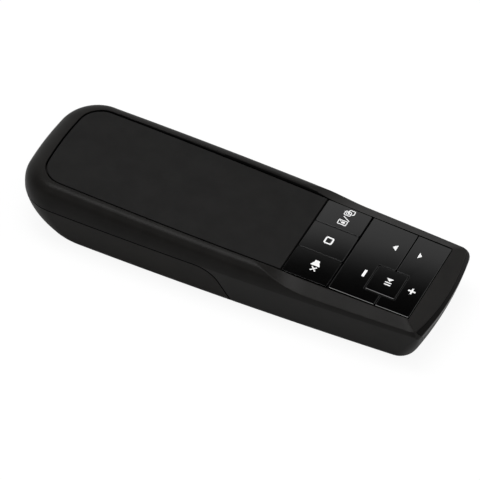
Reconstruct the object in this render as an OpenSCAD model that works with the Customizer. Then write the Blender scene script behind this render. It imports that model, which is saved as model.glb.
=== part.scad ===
// Wireless presentation clicker with a matt top panel, six keys at the front
// and a wrap-around battery cover under the rear half.
// X runs to the pointing end, Z is up, and the origin is on the table under the middle.

/* [Body] */
// Overall length
body_l = 132.2; // [126:0.1:145]
// Width at the widest place
body_w = 42.5; // [41.5:0.1:47]
// Height of the panel plane above the table at the tail
rear_h = 21.85; // [21:0.05:25]
// Height of the panel plane above the table at the nose
front_h = 16.8; // [16:0.05:19]
// Where the widest place lies behind the middle
widest_back = 31.8; // [20:0.2:45]
// Radius of the long bowed sides
side_r = 1620; // [1300:10:2600]
// Radius of the bowed nose in plan
nose_r = 102; // [70:1:140]
// Radius of the bowed tail in plan
tail_r = 102; // [70:1:140]
// Corner radius of the nose at the parting line
nose_corner_r = 1.8; // [1.4:0.1:3]
// Corner radius of the tail at the parting line
tail_corner_r = 12.9; // [12.5:0.1:15]
// Height of the parting line between housing and battery cover
parting_z = 13.65; // [13.45:0.05:14.2]
// Width of the rounded shoulder between the top and the parting line
shoulder_w = 5.15; // [3.5:0.05:5.4]
// How full the shoulder's section is: 2 is an ellipse, more is squarer
shoulder_fullness = 2.7; // [2:0.1:4]
// How much wider the shoulder is across the tail
tail_shoulder = 1.75; // [1:0.05:1.8]
// Height of the bezel above the panel at the tail
lip_rear = 0.1; // [0.05:0.05:0.5]
// Height of the bezel above the panel beside its front end
lip_front = 0.9; // [0.3:0.05:1.2]
// How far the sides draw in from the parting line to the bottom
side_draw = 1.8; // [1:0.1:2.4]
// How far the tail is cut under from the parting line to the bottom
tail_draw = 13.1; // [8:0.1:14]
// How full the tail's section is: 2 is an ellipse, more is squarer
tail_fullness = 2.2; // [1.9:0.1:3]
// How far the nose draws in from the parting line to the bottom
nose_draw = 5.1; // [3:0.1:6]
// How full the nose's section is: 1 is a straight lean, 2 is an ellipse
nose_fullness = 1.3; // [1.1:0.05:2]
// Radius of the bottom edge along the sides
bottom_r = 2.75; // [2.2:0.05:3.5]
// Wall thickness of the housing, cover and base
wall = 1.6; // [1.3:0.05:1.65]

/* [Top] */
// Length of the key field
key_field_l = 39.9; // [38:0.1:41]
// Room between the key field and the body's widest place, at the panel
key_side_rear = 5.35; // [5.1:0.05:6]
// Room between the key field and the body's widest place, at the nose
key_side_front = 6.05; // [5.7:0.05:6.7]
// Rim between the key field and the nose
nose_rim = 6.1; // [5.5:0.1:7.5]
// Rim between the panel and the tail
tail_rim = 6.85; // [6:0.05:9]
// Room between the panel's widest place and the body's widest place
panel_side = 4.55; // [4.3:0.05:5]
// Radius of the panel's long bowed edges
panel_side_r = 1800; // [1400:10:2600]
// Corner radius of the panel
panel_corner_r = 7.5; // [5:0.1:9]
// Thickness of the panel
panel_t = 1.2; // [0.8:0.1:1.4]
// Thickness of the deck under the panel
deck_t = 1.4; // [1:0.1:1.6]
// Slope of the rim beside the keys
rim_slope = 24.5; // [20:0.5:28]
// Slope of the rim in front of the keys
nose_rim_slope = 19.5; // [16:0.5:22]
// Slope of the ramp where the raised bezel falls to the rim
ramp_slope = 12; // [8:0.5:15]

/* [Keys] */
// Depth of the key tops below the panel plane
key_drop = 0.3; // [0.2:0.05:0.6]
// Thickness of the key caps
cap_t = 1.4; // [1.1:0.1:1.6]
// Gap round every key
key_gap = 0.25; // [0.2:0.05:0.4]
// Length of the three row keys
row_l = 14.2; // [13:0.1:15.5]
// Gap between the row keys and the rockers
group_gap = 0.65; // [0.4:0.05:1]
// Far edge of the middle row key
row_split_far = 6.5; // [5.5:0.05:7]
// Near edge of the middle row key
row_split_near = -4.7; // [-6:0.05:-4]
// Split between the two rockers, from the panel
rocker_split = 29.15; // [28:0.05:30.5]
// Length of the square play key
play_l = 9.15; // [8:0.05:10]
// Width of the square play key
play_w = 9.85; // [8.5:0.05:10.5]
// Middle of the play key, from the panel
play_x = 28.65; // [28:0.05:29.5]
// Middle of the play key, from the centre line
play_y = -5.55; // [-6.5:0.05:-5.3]
// Travel of a key
key_travel = 0.5; // [0.3:0.05:0.55]
// Tilt of a rocker to either side, in degrees
rocker_tilt = 2.5; // [1.5:0.1:2.6]
// Radius of the key plungers
plunger_r = 1.5; // [1.2:0.05:1.7]
// Line that the rockers tilt about
rocker_pivot_y = 1.3; // [0.5:0.1:2]

/* [Battery bay] */
// Diameter of an AAA cell
cell_d = 10.5; // [10.2:0.1:10.5]
// Length of an AAA cell
cell_l = 44.5; // [43.3:0.1:44.5]
// Distance between the two cells' centre lines
cell_pitch = 11.2; // [11:0.05:11.5]
// Height of the cells' centre lines above the table
cell_z = 7.35; // [7.2:0.05:7.5]
// Room that each spring keeps between its cell and the bay's end
spring_l = 3.8; // [3:0.1:4.2]
// Room between the tail and the cell bay
bay_back = 8.9; // [8.8:0.1:10]
// Thickness of the bay's ceiling
ceiling_t = 0.9; // [0.8:0.1:1.2]
// Height of the bay's ceiling over the cells
ceiling_gap = 0.4; // [0.2:0.05:0.6]
// Room between the cell bay and the cover's foot, where the receiver lies
receiver_room = 14; // [13.8:0.1:15]
// Lean of the cover's front edge from the upright
cover_lean = 25.5; // [20:0.5:30]
// Radius where the cover's front edge turns into the parting line
cover_turn_r = 8; // [5:0.5:9]
// Gap along the parting line
part_gap = 0.2; // [0.15:0.05:0.3]

/* [Hidden] */
$fn = 48;

// The panel plane slopes down to the nose; key_x is where the panel meets the keys.
tilt = atan((rear_h - front_h) / body_l);
key_x = body_l / 2 - nose_rim - key_field_l;
panel_l = body_l - nose_rim - key_field_l - tail_rim;
panel_half = body_w / 2 - panel_side;
key_half_rear = body_w / 2 - key_side_rear;
key_half_front = body_w / 2 - key_side_front;
mid_h = (rear_h + front_h) / 2;
function top_z(x) = mid_h - x * tan(tilt);
panel_rear = -body_l / 2 + tail_rim;
function lip(x) = lip_rear + (lip_front - lip_rear) * (x - panel_rear) / (key_x - panel_rear);

// How much the plan's corners open out down to the bottom
nose_corner_grow = 3.2;
tail_corner_grow = 1.4;
base_side = 0.8;
base_nose = 2.5;

// Levels in the frame of the sloping top, downwards from the panel plane
seat_gap = 0.1;
pocket_z = -panel_t - seat_gap;
deck_z = pocket_z - deck_t;
guide_t = 0.8;
guide_z = deck_z - guide_t;
guide_rim = 1;
cap_z = -key_drop - cap_t;
collar_t = 0.5;
collar_z = guide_z - seat_gap;
rocker_collar_z = guide_z - 0.45;
rocker_collar_t = 0.4;
rib_t = 0.8;
rib_l = 5;
rocker_pivot_z = deck_z + 0.15 + rib_t / 2;
bump_h = 0.45;
mat_t = 0.6;
press_room = 0.15;
bump_z = collar_z - collar_t - key_travel - press_room;
mat_z = bump_z - bump_h;
board_z = mat_z - mat_t;
board_t = 1;
under_z = board_z - board_t;

// Key field and its contacts
rocker_x = row_l + group_gap;
row_mid = (key_gap + row_l) / 2;
contacts_far_y = 8;
contacts_near_y = -5.4;
rear_contact_x = (rocker_x + play_x - play_l / 2) / 2;
front_contact_x = (play_x + play_l / 2 + key_field_l) / 2;
row_contacts = [[row_mid, (row_split_far + key_half_rear) / 2],
    [row_mid, (row_split_far + row_split_near) / 2],
    [row_mid, (row_split_near - key_half_rear) / 2]];
rear_contacts = [[rear_contact_x, contacts_far_y], [rear_contact_x, contacts_near_y]];
front_contacts = [[front_contact_x, contacts_far_y], [front_contact_x, contacts_near_y]];
contacts = concat(row_contacts, rear_contacts, front_contacts, [[play_x, play_y]]);
hole_r = plunger_r + 0.15;
collar_r = plunger_r + 0.6;
bump_r = 1.8;
dome_r = 2.2;

// Screws
shank_r = 0.8;
head_r = 1.4;
head_h = 1.1;

// Battery bay
ceiling_z = cell_z + cell_d / 2 + ceiling_gap;
ceiling_top = ceiling_z + ceiling_t;
contact_t = 0.4;
nub_l = 0.6;
bay_l = cell_l + spring_l + nub_l + 2 * contact_t + 0.2;
bay_rear = -body_l / 2 + bay_back;
bay_front = bay_rear + bay_l;
cover_foot_x = bay_front + receiver_room;
bay_wall = 1.1;
bulkhead_x = cover_foot_x + 0.3;
bulkhead_t = 1.4;
cell_gap = 0.3;
side_rail_y = cell_pitch / 2 + cell_d / 2 + cell_gap;
side_rail_t = 1.2;
flange_t = 0.8;
flange_gap = 0.15;
bay_screw_y = side_rail_y + side_rail_t + head_r + 0.2;
rail_half = bay_screw_y + head_r + 1.25;
flange_half = rail_half + 1.8;
flange_z = parting_z - 1.35;
web_t = 0.9;
rail_rear = bay_rear + 4;
rail_front = bay_front - 1;

// Board, switch and receiver
board_front = key_field_l + 1.2;
board_rear = bulkhead_x + bulkhead_t + 1.2 - key_x;
board_half = body_w / 2 - 6.75;
lead_r = 0.5;
lead_z = ceiling_top + 0.3 + lead_r;
slider_x = key_x + 9;
slider_travel = 2.4;
slider_l = 5;
slider_h = 2.2;
slider_t = 0.6;
slider_neck_l = 2.4;
slider_neck_t = 1;
slot_gap = 0.2;
slot_end = 1;
slot_depth = 0.8;
slider_z = top_z(slider_x) + under_z - 0.9;
slider_wall = side_y(slider_x, slider_z);
receiver_w = 12;
receiver_t = 6;
receiver_head_l = 9;
plug_l = 12;
plug_t = 4.5;
plug_shell_t = 0.35;
receiver_x = bulkhead_x - 0.7 - receiver_w / 2;
receiver_z = ceiling_z - 0.2 - receiver_t / 2;
receiver_split = 3;

// Contacts
switch_depth = 1.8;
spring_turns = 3.5;
spring_steps = 12;
wire_r = 0.35;
tab_w = 3;
plate_w = 7.5;
plate_h = 6.6;
plate_low = 2.3;
bridge_h = 5.6;
nub_r = 1.9;

// Screw places
front_screw_x = bulkhead_x + bulkhead_t + 4.7;
front_screw_y = board_half - 2.5;
bay_screw_x = (bay_rear + bay_front) / 2;
screw_seat_z = 9;

// ---------- outlines ----------

// Where the circles round a and b cross, on side s of the line from a to b
function meet(a, ra, b, rb, s) =
    let (d = norm(b - a), u = (b - a) / d, k = (d * d + ra * ra - rb * rb) / (2 * d))
    a + k * u + s * sqrt(ra * ra - k * k) * [-u[1], u[0]];

function bearing(from, to) = atan2(to[1] - from[1], to[0] - from[0]);

function arc(c, r, a, b, n) = [for (i = [0:n - 1]) c + r * [cos(a + (b - a) * i / n), sin(a + (b - a) * i / n)]];

// Half of a closed outline of tangent arcs, from the nose round the far side to the tail
function half_outline(half, nose, tail, widest, sr, nc, tc) =
    let (side = [widest, half - sr], bow = [nose - nose_r, 0], stern = [tail + tail_r, 0],
         c1 = meet(side, sr - nc, bow, nose_r - nc, -1), c2 = meet(side, sr - tc, stern, tail_r - tc, 1),
         a1 = bearing(bow, c1), a2 = bearing(side, c1), a3 = bearing(side, c2), a4 = bearing(stern, c2))
    concat(arc(bow, nose_r, 0, a1, 3), arc(c1, nc, a1, a2, 4), arc(side, sr, a2, a3, 6),
        arc(c2, tc, a3, a4, 6), arc(stern, tail_r, a4, 180, 3), [[tail, 0]]);

function outline(half, nose, tail, widest, sr, nc, tc) =
    let (p = half_outline(half, nose, tail, widest, sr, nc, tc), n = len(p) - 1)
    concat(p, [for (i = [n - 1:-1:1]) [p[i][0], -p[i][1]]]);

// A level outline of the body, drawn in by these amounts from the parting line's outline
function body_outline(side_in, tail_in, nose_in, nc, tc) =
    outline(body_w / 2 - side_in, body_l / 2 - nose_in, -body_l / 2 + tail_in, -widest_back, side_r, nc, tc);

// The panel's outline in the frame of the top, grown by this much
function panel_outline(grow) =
    outline(panel_half + grow, 20, -panel_l - grow, -widest_back - key_x, panel_side_r, 2, panel_corner_r + grow);

// ---------- the body's skin, level by level ----------

// How far down the side wall height z is, and how far its foot is rounded in over a floor
function low_share(z) = min(1, max(0, (parting_z - z) / (parting_z - bottom_r)));
function foot_in(z, floor_z) =
    let (r = bottom_r - floor_z, h = max(0, bottom_r - z)) r - sqrt(max(0, r * r - h * h));
function side_y(x, z) =
    body_w / 2 - (x + widest_back) * (x + widest_back) / (2 * side_r) - side_draw * low_share(z);

// Superellipse section: share of the draw reached at share q of the height
function cut_under(q, fullness) = 1 - pow(max(0, 1 - pow(q, fullness)), 1 / fullness);

// Shoulder ring at angle a, 0 at the top and 90 at the parting line; skin is the wall inside it
function shoulder_ring(a, skin) =
    let (s = pow(sin(a), 2 / shoulder_fullness), f = 1 - pow(cos(a), 2 / shoulder_fullness),
         w = shoulder_w * (1 - s),
         p = body_outline(w + skin, w * tail_shoulder + skin, skin * 1.5,
             nose_corner_r, tail_corner_r - w * tail_shoulder - skin * 0.8))
    [for (q = p) [q[0], q[1], (top_z(q[0]) + (skin > 0 ? deck_z : lip(q[0]))) * (1 - f) + parting_z * f]];

// Level ring at height z, over a floor at this height
function low_ring(z, skin, floor_z) =
    let (k = low_share(z), q = (parting_z - z) / (parting_z - floor_z),
         p = body_outline(side_draw * k + foot_in(z, floor_z) + skin,
             tail_draw * cut_under(q, tail_fullness) + skin,
             nose_draw * cut_under(q, nose_fullness) + skin * 1.5,
             nose_corner_r + nose_corner_grow * k, tail_corner_r + tail_corner_grow * k - skin * 0.8))
    [for (q = p) [q[0], q[1], z]];

module loft(rings) {
    n = len(rings[0]);
    last = len(rings) - 1;
    points = [for (r = rings) each r];
    skin = [for (i = [0:last - 1], j = [0:n - 1]) let (k = (j + 1) % n)
        each [[i * n + j, i * n + k, (i + 1) * n + k], [i * n + j, (i + 1) * n + k, (i + 1) * n + j]]];
    top = [for (j = [n - 1:-1:0]) j];
    bottom = [for (j = [0:n - 1]) last * n + j];
    polyhedron(points, concat([top], skin, [bottom]));
}

module body_solid() {
    side_h = parting_z - bottom_r;
    loft(concat(
        [for (a = [0, 12, 28, 46, 66, 90]) shoulder_ring(a, 0)],
        [for (k = [0.2, 0.4, 0.6, 0.8, 1]) low_ring(parting_z - side_h * k, 0, 0)],
        [for (a = [25, 50, 75, 90]) low_ring(bottom_r * (1 - sin(a)), 0, 0)]));
}

// The room inside the walls, from the deck's underside down to the floor
module body_room(skin) {
    side_h = parting_z - bottom_r;
    loft(concat(
        [for (a = [0, 40, 90]) shoulder_ring(a, skin)],
        [for (k = [0.3, 0.6, 0.8, 1]) low_ring(parting_z - side_h * k, skin, skin)],
        [for (a = [35, 65, 90]) low_ring(bottom_r - (bottom_r - skin) * sin(a), skin, skin)]));
}

// Everything under the parting line and behind the cover's slanted front edge, less a gap
module cover_zone(gap) {
    foot = cover_foot_x - gap;
    top = parting_z - gap;
    turn = (90 - cover_lean) / 2 + cover_lean;
    reach = cover_turn_r / tan(turn);
    corner_x = foot - top * tan(cover_lean);
    c = [corner_x - reach, top - cover_turn_r];
    bend = [for (i = [0:8]) c + cover_turn_r * [cos(90 - i * (90 - cover_lean) / 8), sin(90 - i * (90 - cover_lean) / 8)]];
    below = 2;
    rotate([90, 0, 0])
        linear_extrude(height = 2 * body_w, center = true)
            polygon(concat([[-body_l, top]], bend, [[foot + below * tan(cover_lean), -below], [-body_l, -below]]));
}

// ---------- frames ----------

// The frame of the sloping top: its origin is where the panel meets the keys
module on_top() {
    translate([key_x, 0, top_z(key_x)])
        rotate([0, tilt, 0])
            children();
}

module plate(z0, z1) {
    translate([0, 0, z0])
        linear_extrude(height = z1 - z0)
            children();
}

module key_field(grow) {
    polygon([[-grow, -key_half_rear - grow], [key_field_l + grow, -key_half_front - grow],
        [key_field_l + grow, key_half_front + grow], [-grow, key_half_rear + grow]]);
}

module span(x0, y0, x1, y1) {
    translate([x0, y0])
        square([x1 - x0, y1 - y0]);
}

module post(x, y, z0, z1, r) {
    translate([x, y, z0])
        cylinder(r = r, h = z1 - z0);
}

// ---------- housing ----------

// What is cut from the shell to leave the sloping rim beside the keys, on the far side
module side_rim_cut() {
    start = 3;
    back = 24;
    ramp = tan(ramp_slope);
    out = body_l;
    on_top()
        translate([0, key_half_rear - 0.35, -key_drop])
            rotate([-rim_slope, 0, 0])
                translate([0, out / 2 - 6, 0])
                    rotate([90, 0, 0])
                        linear_extrude(height = out, center = true)
                            polygon([[start - back, back * ramp], [start, 0], [out, 0], [out, out], [start - back, out]]);
}

// The region above the rim in front of the keys, lowered by this much
module above_nose_rim(down) {
    on_top()
        translate([key_field_l, 0, -key_drop - 0.1 - down])
            rotate([0, nose_rim_slope, 0])
                translate([-6, -body_w, 0])
                    cube([body_l, 2 * body_w, body_l]);
}

// The nose leans back over the glossy strip
module nose_bevel() {
    set_back = 0.95;
    drop = 2.1;
    z = top_z(body_l / 2) - 2.25;
    turn = 14;
    translate([body_l / 2 - nose_r, 0, 0])
        rotate([0, 0, -turn])
            rotate_extrude(angle = 2 * turn, $fn = 360)
                polygon([[nose_r - set_back, z + 4], [nose_r - set_back, z], [nose_r, z - drop],
                    [nose_r + 4, z - drop], [nose_r + 4, z + 4]]);
}

// Where the glossy strip sits in the nose
module window_room(gap) {
    top_half = 17.3 - gap;
    low_half = 15 - gap;
    z1 = -1;
    z0 = -6.2 + gap;
    depth = 1.9 - gap;
    difference() {
        on_top()
            translate([key_field_l + 2, 0, 0])
                rotate([90, 0, 90])
                    linear_extrude(height = 10)
                        polygon([[-low_half, z0], [low_half, z0], [top_half, -2.3], [top_half, z1], [-top_half, z1], [-top_half, -2.3]]);
        above_nose_rim(0.25 + gap);
        translate([0, 0, parting_z - 9])
            linear_extrude(height = 12)
                polygon(body_outline(0, 0, depth, nose_corner_r, tail_corner_r));
    }
}

module screw_boss(x, y, z0) {
    difference() {
        post(x, y, z0, top_z(x) + deck_z + 0.5, 2.4);
        post(x, y, z0 - 1, top_z(x) + deck_z - 0.2, shank_r + 0.05);
    }
}

module housing() {
    color([0.13, 0.13, 0.125]) {
        difference() {
            body_solid();
            body_room(wall);
            cover_zone(0);
            side_rim_cut();
            mirror([0, 1, 0]) side_rim_cut();
            above_nose_rim(0);
            nose_bevel();
            panel_room();
            on_top() {
                plate(deck_z - 1, 5)
                    key_field(0);
                plate(guide_z - 1, deck_z)
                    key_field(guide_rim + seat_gap);
            }
            base_opening(0);
            window_room(0);
            led_port();
            slider_slot();
        }
        for (s = [-1, 1]) {
            screw_boss(front_screw_x, s * front_screw_y, top_z(front_screw_x) + board_z + seat_gap);
            screw_boss(bay_screw_x, s * bay_screw_y, ceiling_top + 0.05);
        }
    }
}

// The panel's shape, less a gap, open towards the keys
module panel_shape(gap) {
    intersection() {
        polygon(panel_outline(-gap));
        span(-panel_l - 1, -body_w, -gap, body_w);
    }
}

// The panel's seat, with a chamfer up to the bezel
module panel_room() {
    chamfer = 2;
    on_top() {
        plate(pocket_z, 5)
            panel_shape(0);
        loft([for (h = [chamfer, 0]) [for (q = panel_outline(h)) [q[0], q[1], h]]]);
    }
}

module led_port() {
    on_top()
        translate([key_field_l + 0.8, -1.5, -5.2])
            cube([4, 3, 2.2]);
}

// A recess for the power slider's knob, and a slot behind it for its neck
module slider_slot() {
    recess_h = slider_h + 3 * slot_gap;
    neck_h = slider_neck_t + 2 * slot_gap;
    translate([slider_x - slider_l / 2 - slot_end, slider_wall - slot_depth, slider_z - recess_h / 2])
        cube([slider_l + 2 * slot_end + slider_travel, 2 * wall, recess_h]);
    translate([slider_x - slider_neck_l / 2 - slot_gap, slider_wall - 3 * wall, slider_z - neck_h / 2])
        cube([slider_neck_l + 2 * slot_gap + slider_travel, 3 * wall, neck_h]);
}

// The opening in the housing's underside that the base closes
module base_opening(grow) {
    side_in = side_draw + bottom_r + base_side + grow;
    front_in = nose_draw + base_nose + grow;
    translate([0, 0, -1])
        linear_extrude(height = wall + 1.5)
            intersection() {
                polygon(body_outline(side_in, tail_draw, front_in, nose_corner_r + nose_corner_grow, tail_corner_r));
                span(cover_foot_x + grow, -body_w, body_l, body_w);
            }
}

// ---------- base ----------

module base() {
    color([0.11, 0.11, 0.11])
        difference() {
            union() {
                intersection() {
                    base_opening(seat_gap);
                    translate([0, -body_w, 0])
                        cube([body_l, 2 * body_w, wall]);
                }
                translate([bulkhead_x, -side_rail_y, 0.01])
                    cube([bulkhead_t, 2 * side_rail_y, ceiling_top]);
                bay_ceiling();
                bay_frame();
                for (s = [-1, 1])
                    post(front_screw_x, s * front_screw_y, wall - 0.1,
                        top_z(front_screw_x) + under_z - seat_gap - 0.2, 2.8);
            }
            for (s = [-1, 1]) {
                post(front_screw_x, s * front_screw_y, -1, screw_seat_z, head_r + 0.2);
                post(front_screw_x, s * front_screw_y, -1, body_l, shank_r + 0.2);
                post(bay_screw_x, s * bay_screw_y, 1, body_l, shank_r + 0.2);
                contact_slot(s * cell_pitch / 2);
            }
        }
}

// Ceiling over the cells, with a flange along each side that holds the cover's rails
module bay_ceiling() {
    half = rail_half - flange_gap;
    rear = bay_rear - bay_wall;
    translate([rear, -half, ceiling_z])
        cube([bulkhead_x + bulkhead_t - rear, 2 * half, ceiling_t]);
    for (s = [-1, 1]) {
        translate([rail_rear, s * (half - web_t / 2) - web_t / 2, flange_z - flange_t])
            cube([rail_front - rail_rear, web_t, ceiling_top - flange_z + flange_t]);
        translate([rail_rear, s * (half + flange_half - web_t) / 2 - (flange_half - half + web_t) / 2, flange_z - flange_t])
            cube([rail_front - rail_rear, flange_half - half + web_t, flange_t]);
    }
}

// Rails, divider and end walls round the cells
module bay_frame() {
    wall_low = cell_z - 2.4;
    depth = ceiling_z - wall_low + 0.1;
    for (s = [-1, 1])
        translate([bay_rear, s * (side_rail_y + side_rail_t / 2) - side_rail_t / 2, wall_low])
            cube([bay_l, side_rail_t, depth]);
    translate([bay_rear + contact_t + 0.1, -(cell_pitch - cell_d) / 2 + cell_gap / 2, cell_z + 2])
        cube([bay_l - contact_t - 0.1, cell_pitch - cell_d - cell_gap, ceiling_z - cell_z - 1.9]);
    for (x = [bay_rear - bay_wall, bay_front])
        translate([x, -side_rail_y - side_rail_t, wall_low])
            cube([bay_wall, 2 * (side_rail_y + side_rail_t), depth]);
}

module contact_slot(y) {
    translate([bay_front - contact_t - 0.1, y - tab_w / 2 - 0.15, ceiling_z - 1])
        cube([contact_t + 0.1, tab_w + 0.3, 4]);
}

// ---------- battery cover ----------

module battery_cover() {
    color([0.12, 0.12, 0.115])
        difference() {
            union() {
                difference() {
                    intersection() {
                        body_solid();
                        cover_zone(part_gap);
                    }
                    body_room(wall);
                }
                cover_rails();
            }
            for (i = [0:5])
                translate([-44 - i * 2.2, 0, -0.35])
                    rotate([90, 0, 0])
                        cylinder(r = 0.75, h = 15 - i, center = true);
        }
}

// Two straight rails that run on the flanges of the bay's ceiling
module cover_rails() {
    z0 = flange_z + flange_gap;
    intersection() {
        body_solid();
        for (s = [-1, 1])
            translate([rail_rear, s * (rail_half + 2.5) - 2.5, z0])
                cube([rail_front - rail_rear, 5, parting_z - part_gap - z0]);
    }
}

// ---------- top panel and window ----------

module top_panel() {
    color([0.15, 0.15, 0.155])
        on_top()
            plate(-panel_t, 0)
                panel_shape(0.15);
}

module end_window() {
    color([0.03, 0.03, 0.035])
        difference() {
            intersection() {
                body_solid();
                window_room(0.1);
            }
            nose_bevel();
        }
}

// ---------- keys ----------

module cap(x0, y0, x1, y1) {
    plate(cap_z, -key_drop)
        intersection() {
            key_field(-key_gap);
            span(x0, y0, x1, y1);
        }
}

// A plunger that runs through the guide, with the collar that keeps it there
module plunger(at, top_of_collar, t) {
    post(at[0], at[1], top_of_collar - t, cap_z + 0.1, plunger_r);
    post(at[0], at[1], top_of_collar - t, top_of_collar, collar_r);
}

module row_key(i, y0, y1) {
    color([0.04, 0.04, 0.045])
        on_top() {
            cap(0, y0, row_l, y1);
            plunger(row_contacts[i], collar_z, collar_t);
        }
}

module key_window() row_key(0, row_split_far + key_gap / 2, body_w);
module key_blank() row_key(1, row_split_near + key_gap / 2, row_split_far - key_gap / 2);
module key_mute() row_key(2, -body_w, row_split_near - key_gap / 2);

// A rocker plate from x0 to x1 that leaves room for the play key
module rocker(x0, x1, ends) {
    color([0.04, 0.04, 0.045])
        on_top() {
            difference() {
                cap(x0, -body_w, x1, body_w);
                plate(cap_z - 1, 1)
                    span(play_x - play_l / 2 - key_gap, play_y - play_w / 2 - key_gap,
                        play_x + play_l / 2 + key_gap, play_y + play_w / 2 + key_gap);
            }
            translate([ends[0][0] - rib_l / 2, rocker_pivot_y, rocker_pivot_z]) {
                rotate([0, 90, 0])
                    cylinder(r = rib_t / 2, h = rib_l);
                translate([0, -rib_t / 2, 0])
                    cube([rib_l, rib_t, cap_z + 0.1 - rocker_pivot_z]);
            }
            for (e = ends)
                plunger(e, rocker_collar_z, rocker_collar_t);
        }
}

module rocker_rear() rocker(rocker_x, rocker_split - key_gap / 2, rear_contacts);
module rocker_front() rocker(rocker_split + key_gap / 2, body_l, front_contacts);

module key_play() {
    color([0.04, 0.04, 0.045])
        on_top() {
            cap(play_x - play_l / 2, play_y - play_w / 2, play_x + play_l / 2, play_y + play_w / 2);
            plunger([play_x, play_y], collar_z, collar_t);
        }
}

// ---------- under the keys ----------

module key_guide() {
    color([0.08, 0.08, 0.08])
        on_top()
            difference() {
                plate(guide_z, deck_z)
                    key_field(guide_rim);
                for (c = contacts)
                    post(c[0], c[1], guide_z - 1, deck_z + 1, hole_r);
            }
}

module keypad_mat() {
    color([0.35, 0.36, 0.37])
        on_top()
            difference() {
                union() {
                    plate(board_z, mat_z)
                        span(0, -board_half + 0.5, front_contact_x + bump_r + 0.6, board_half - 0.5);
                    for (c = contacts)
                        post(c[0], c[1], mat_z - 0.1, bump_z, bump_r);
                }
                for (c = contacts)
                    post(c[0], c[1], board_z - 1, board_z + 0.5, dome_r + 0.2);
            }
}

module snap_domes() {
    color([0.75, 0.75, 0.72])
        on_top()
            for (c = contacts)
                translate([c[0], c[1], board_z])
                    rotate_extrude()
                        polygon([[0, 0], [dome_r, 0], [dome_r, 0.08], [dome_r * 0.7, 0.24], [dome_r * 0.35, 0.33], [0, 0.36]]);
}

module circuit_board() {
    color([0.05, 0.3, 0.14])
        difference() {
            on_top()
                plate(under_z, board_z)
                    span(board_rear, -board_half, board_front, board_half);
            for (s = [-1, 1])
                post(front_screw_x, s * front_screw_y, 0, body_l, shank_r + 0.4);
        }
}

// A chip on the underside of the board
module chip(x, y, l, w, h) {
    on_top()
        plate(under_z - h, under_z)
            span(x - l / 2, y - w / 2, x + l / 2, y + w / 2);
}

module control_chip() color([0.1, 0.1, 0.1]) chip(board_front / 2, -3, 7, 7, 0.9);
module radio_chip() color([0.1, 0.1, 0.1]) chip(board_front - 9, 4, 4, 4, 0.8);
module crystal() color([0.8, 0.8, 0.82]) chip(board_front - 15, 5, 3.2, 2.5, 0.7);

module status_led() {
    color([0.9, 0.9, 0.85])
        on_top()
            plate(board_z, board_z + 1)
                span(board_front - 1.6, -0.8, board_front, 0.8);
}

module switch_body() {
    color([0.6, 0.6, 0.62])
        on_top()
            plate(under_z - switch_depth, under_z)
                span(4.6, board_half - 3.5, 14.6, board_half + 0.6);
}

module power_slider() {
    face = slider_wall - slot_depth + 0.1;
    neck_y = board_half + 0.75;
    rib_w = 0.5;
    color([0.09, 0.09, 0.09]) {
        translate([slider_x - slider_l / 2, face, slider_z - slider_h / 2])
            cube([slider_l, slider_t, slider_h]);
        for (i = [-1:1])
            translate([slider_x + i * 1.3 - rib_w / 2, face + slider_t - 0.1, slider_z - slider_h / 2])
                cube([rib_w, 0.4, slider_h]);
        translate([slider_x - slider_neck_l / 2, neck_y, slider_z - slider_neck_t / 2])
            cube([slider_neck_l, face + 0.1 - neck_y, slider_neck_t]);
    }
}

// ---------- battery bay ----------

// An AAA cell that lies along X: way is 1 with its nub forwards and -1 with it rearwards
module cell(y, way) {
    rear = way > 0 ? bay_rear + contact_t + 0.1 + spring_l : bay_rear + contact_t + 0.1 + nub_l;
    color([0.75, 0.55, 0.25])
        translate([rear + cell_l / 2, y, cell_z])
            rotate([0, way * 90, 0])
                union() {
                    translate([0, 0, -cell_l / 2])
                        cylinder(r = cell_d / 2, h = cell_l - 0.8);
                    translate([0, 0, cell_l / 2 - 1])
                        cylinder(r = nub_r, h = 1);
                }
}

module cell_far() cell(cell_pitch / 2, 1);
module cell_near() cell(-cell_pitch / 2, -1);

// Points of a ring of the spring's wire at share t of its length
function coil_ring(t, l) =
    let (a = 360 * spring_turns * t, r = 3.3 - 0.8 * t)
    [for (j = [0:5]) [(r + wire_r * cos(j * 60)) * cos(a), (r + wire_r * cos(j * 60)) * sin(a),
        wire_r + (l - 2 * wire_r) * t + wire_r * sin(j * 60)]];

module coil(l) {
    steps = spring_turns * spring_steps;
    loft([for (i = [0:steps]) coil_ring(1 - i / steps, l)]);
}

module cell_springs() {
    length = spring_l - 0.1;
    color([0.8, 0.8, 0.78]) {
        translate([bay_rear + contact_t + 0.05, cell_pitch / 2, cell_z])
            rotate([0, 90, 0]) coil(length);
        translate([bay_front - contact_t - 0.05, -cell_pitch / 2, cell_z])
            rotate([0, -90, 0]) coil(length);
    }
}

// A contact plate on the bay's front wall, with a tab up through the ceiling
module front_plate(y) {
    translate([bay_front - contact_t, y - plate_w / 2, cell_z - plate_low])
        cube([contact_t, plate_w, plate_h]);
    translate([bay_front - contact_t, y - tab_w / 2, cell_z + 3])
        cube([contact_t, tab_w, lead_z + lead_r - cell_z - 3]);
}

module spring_contact() color([0.82, 0.8, 0.75]) front_plate(-cell_pitch / 2);

module plate_contact() {
    color([0.82, 0.8, 0.75]) {
        front_plate(cell_pitch / 2);
        translate([bay_front - contact_t - nub_l + 0.1, cell_pitch / 2, cell_z])
            rotate([0, 90, 0])
                cylinder(r1 = 1.2, r2 = 2, h = nub_l);
    }
}

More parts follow.
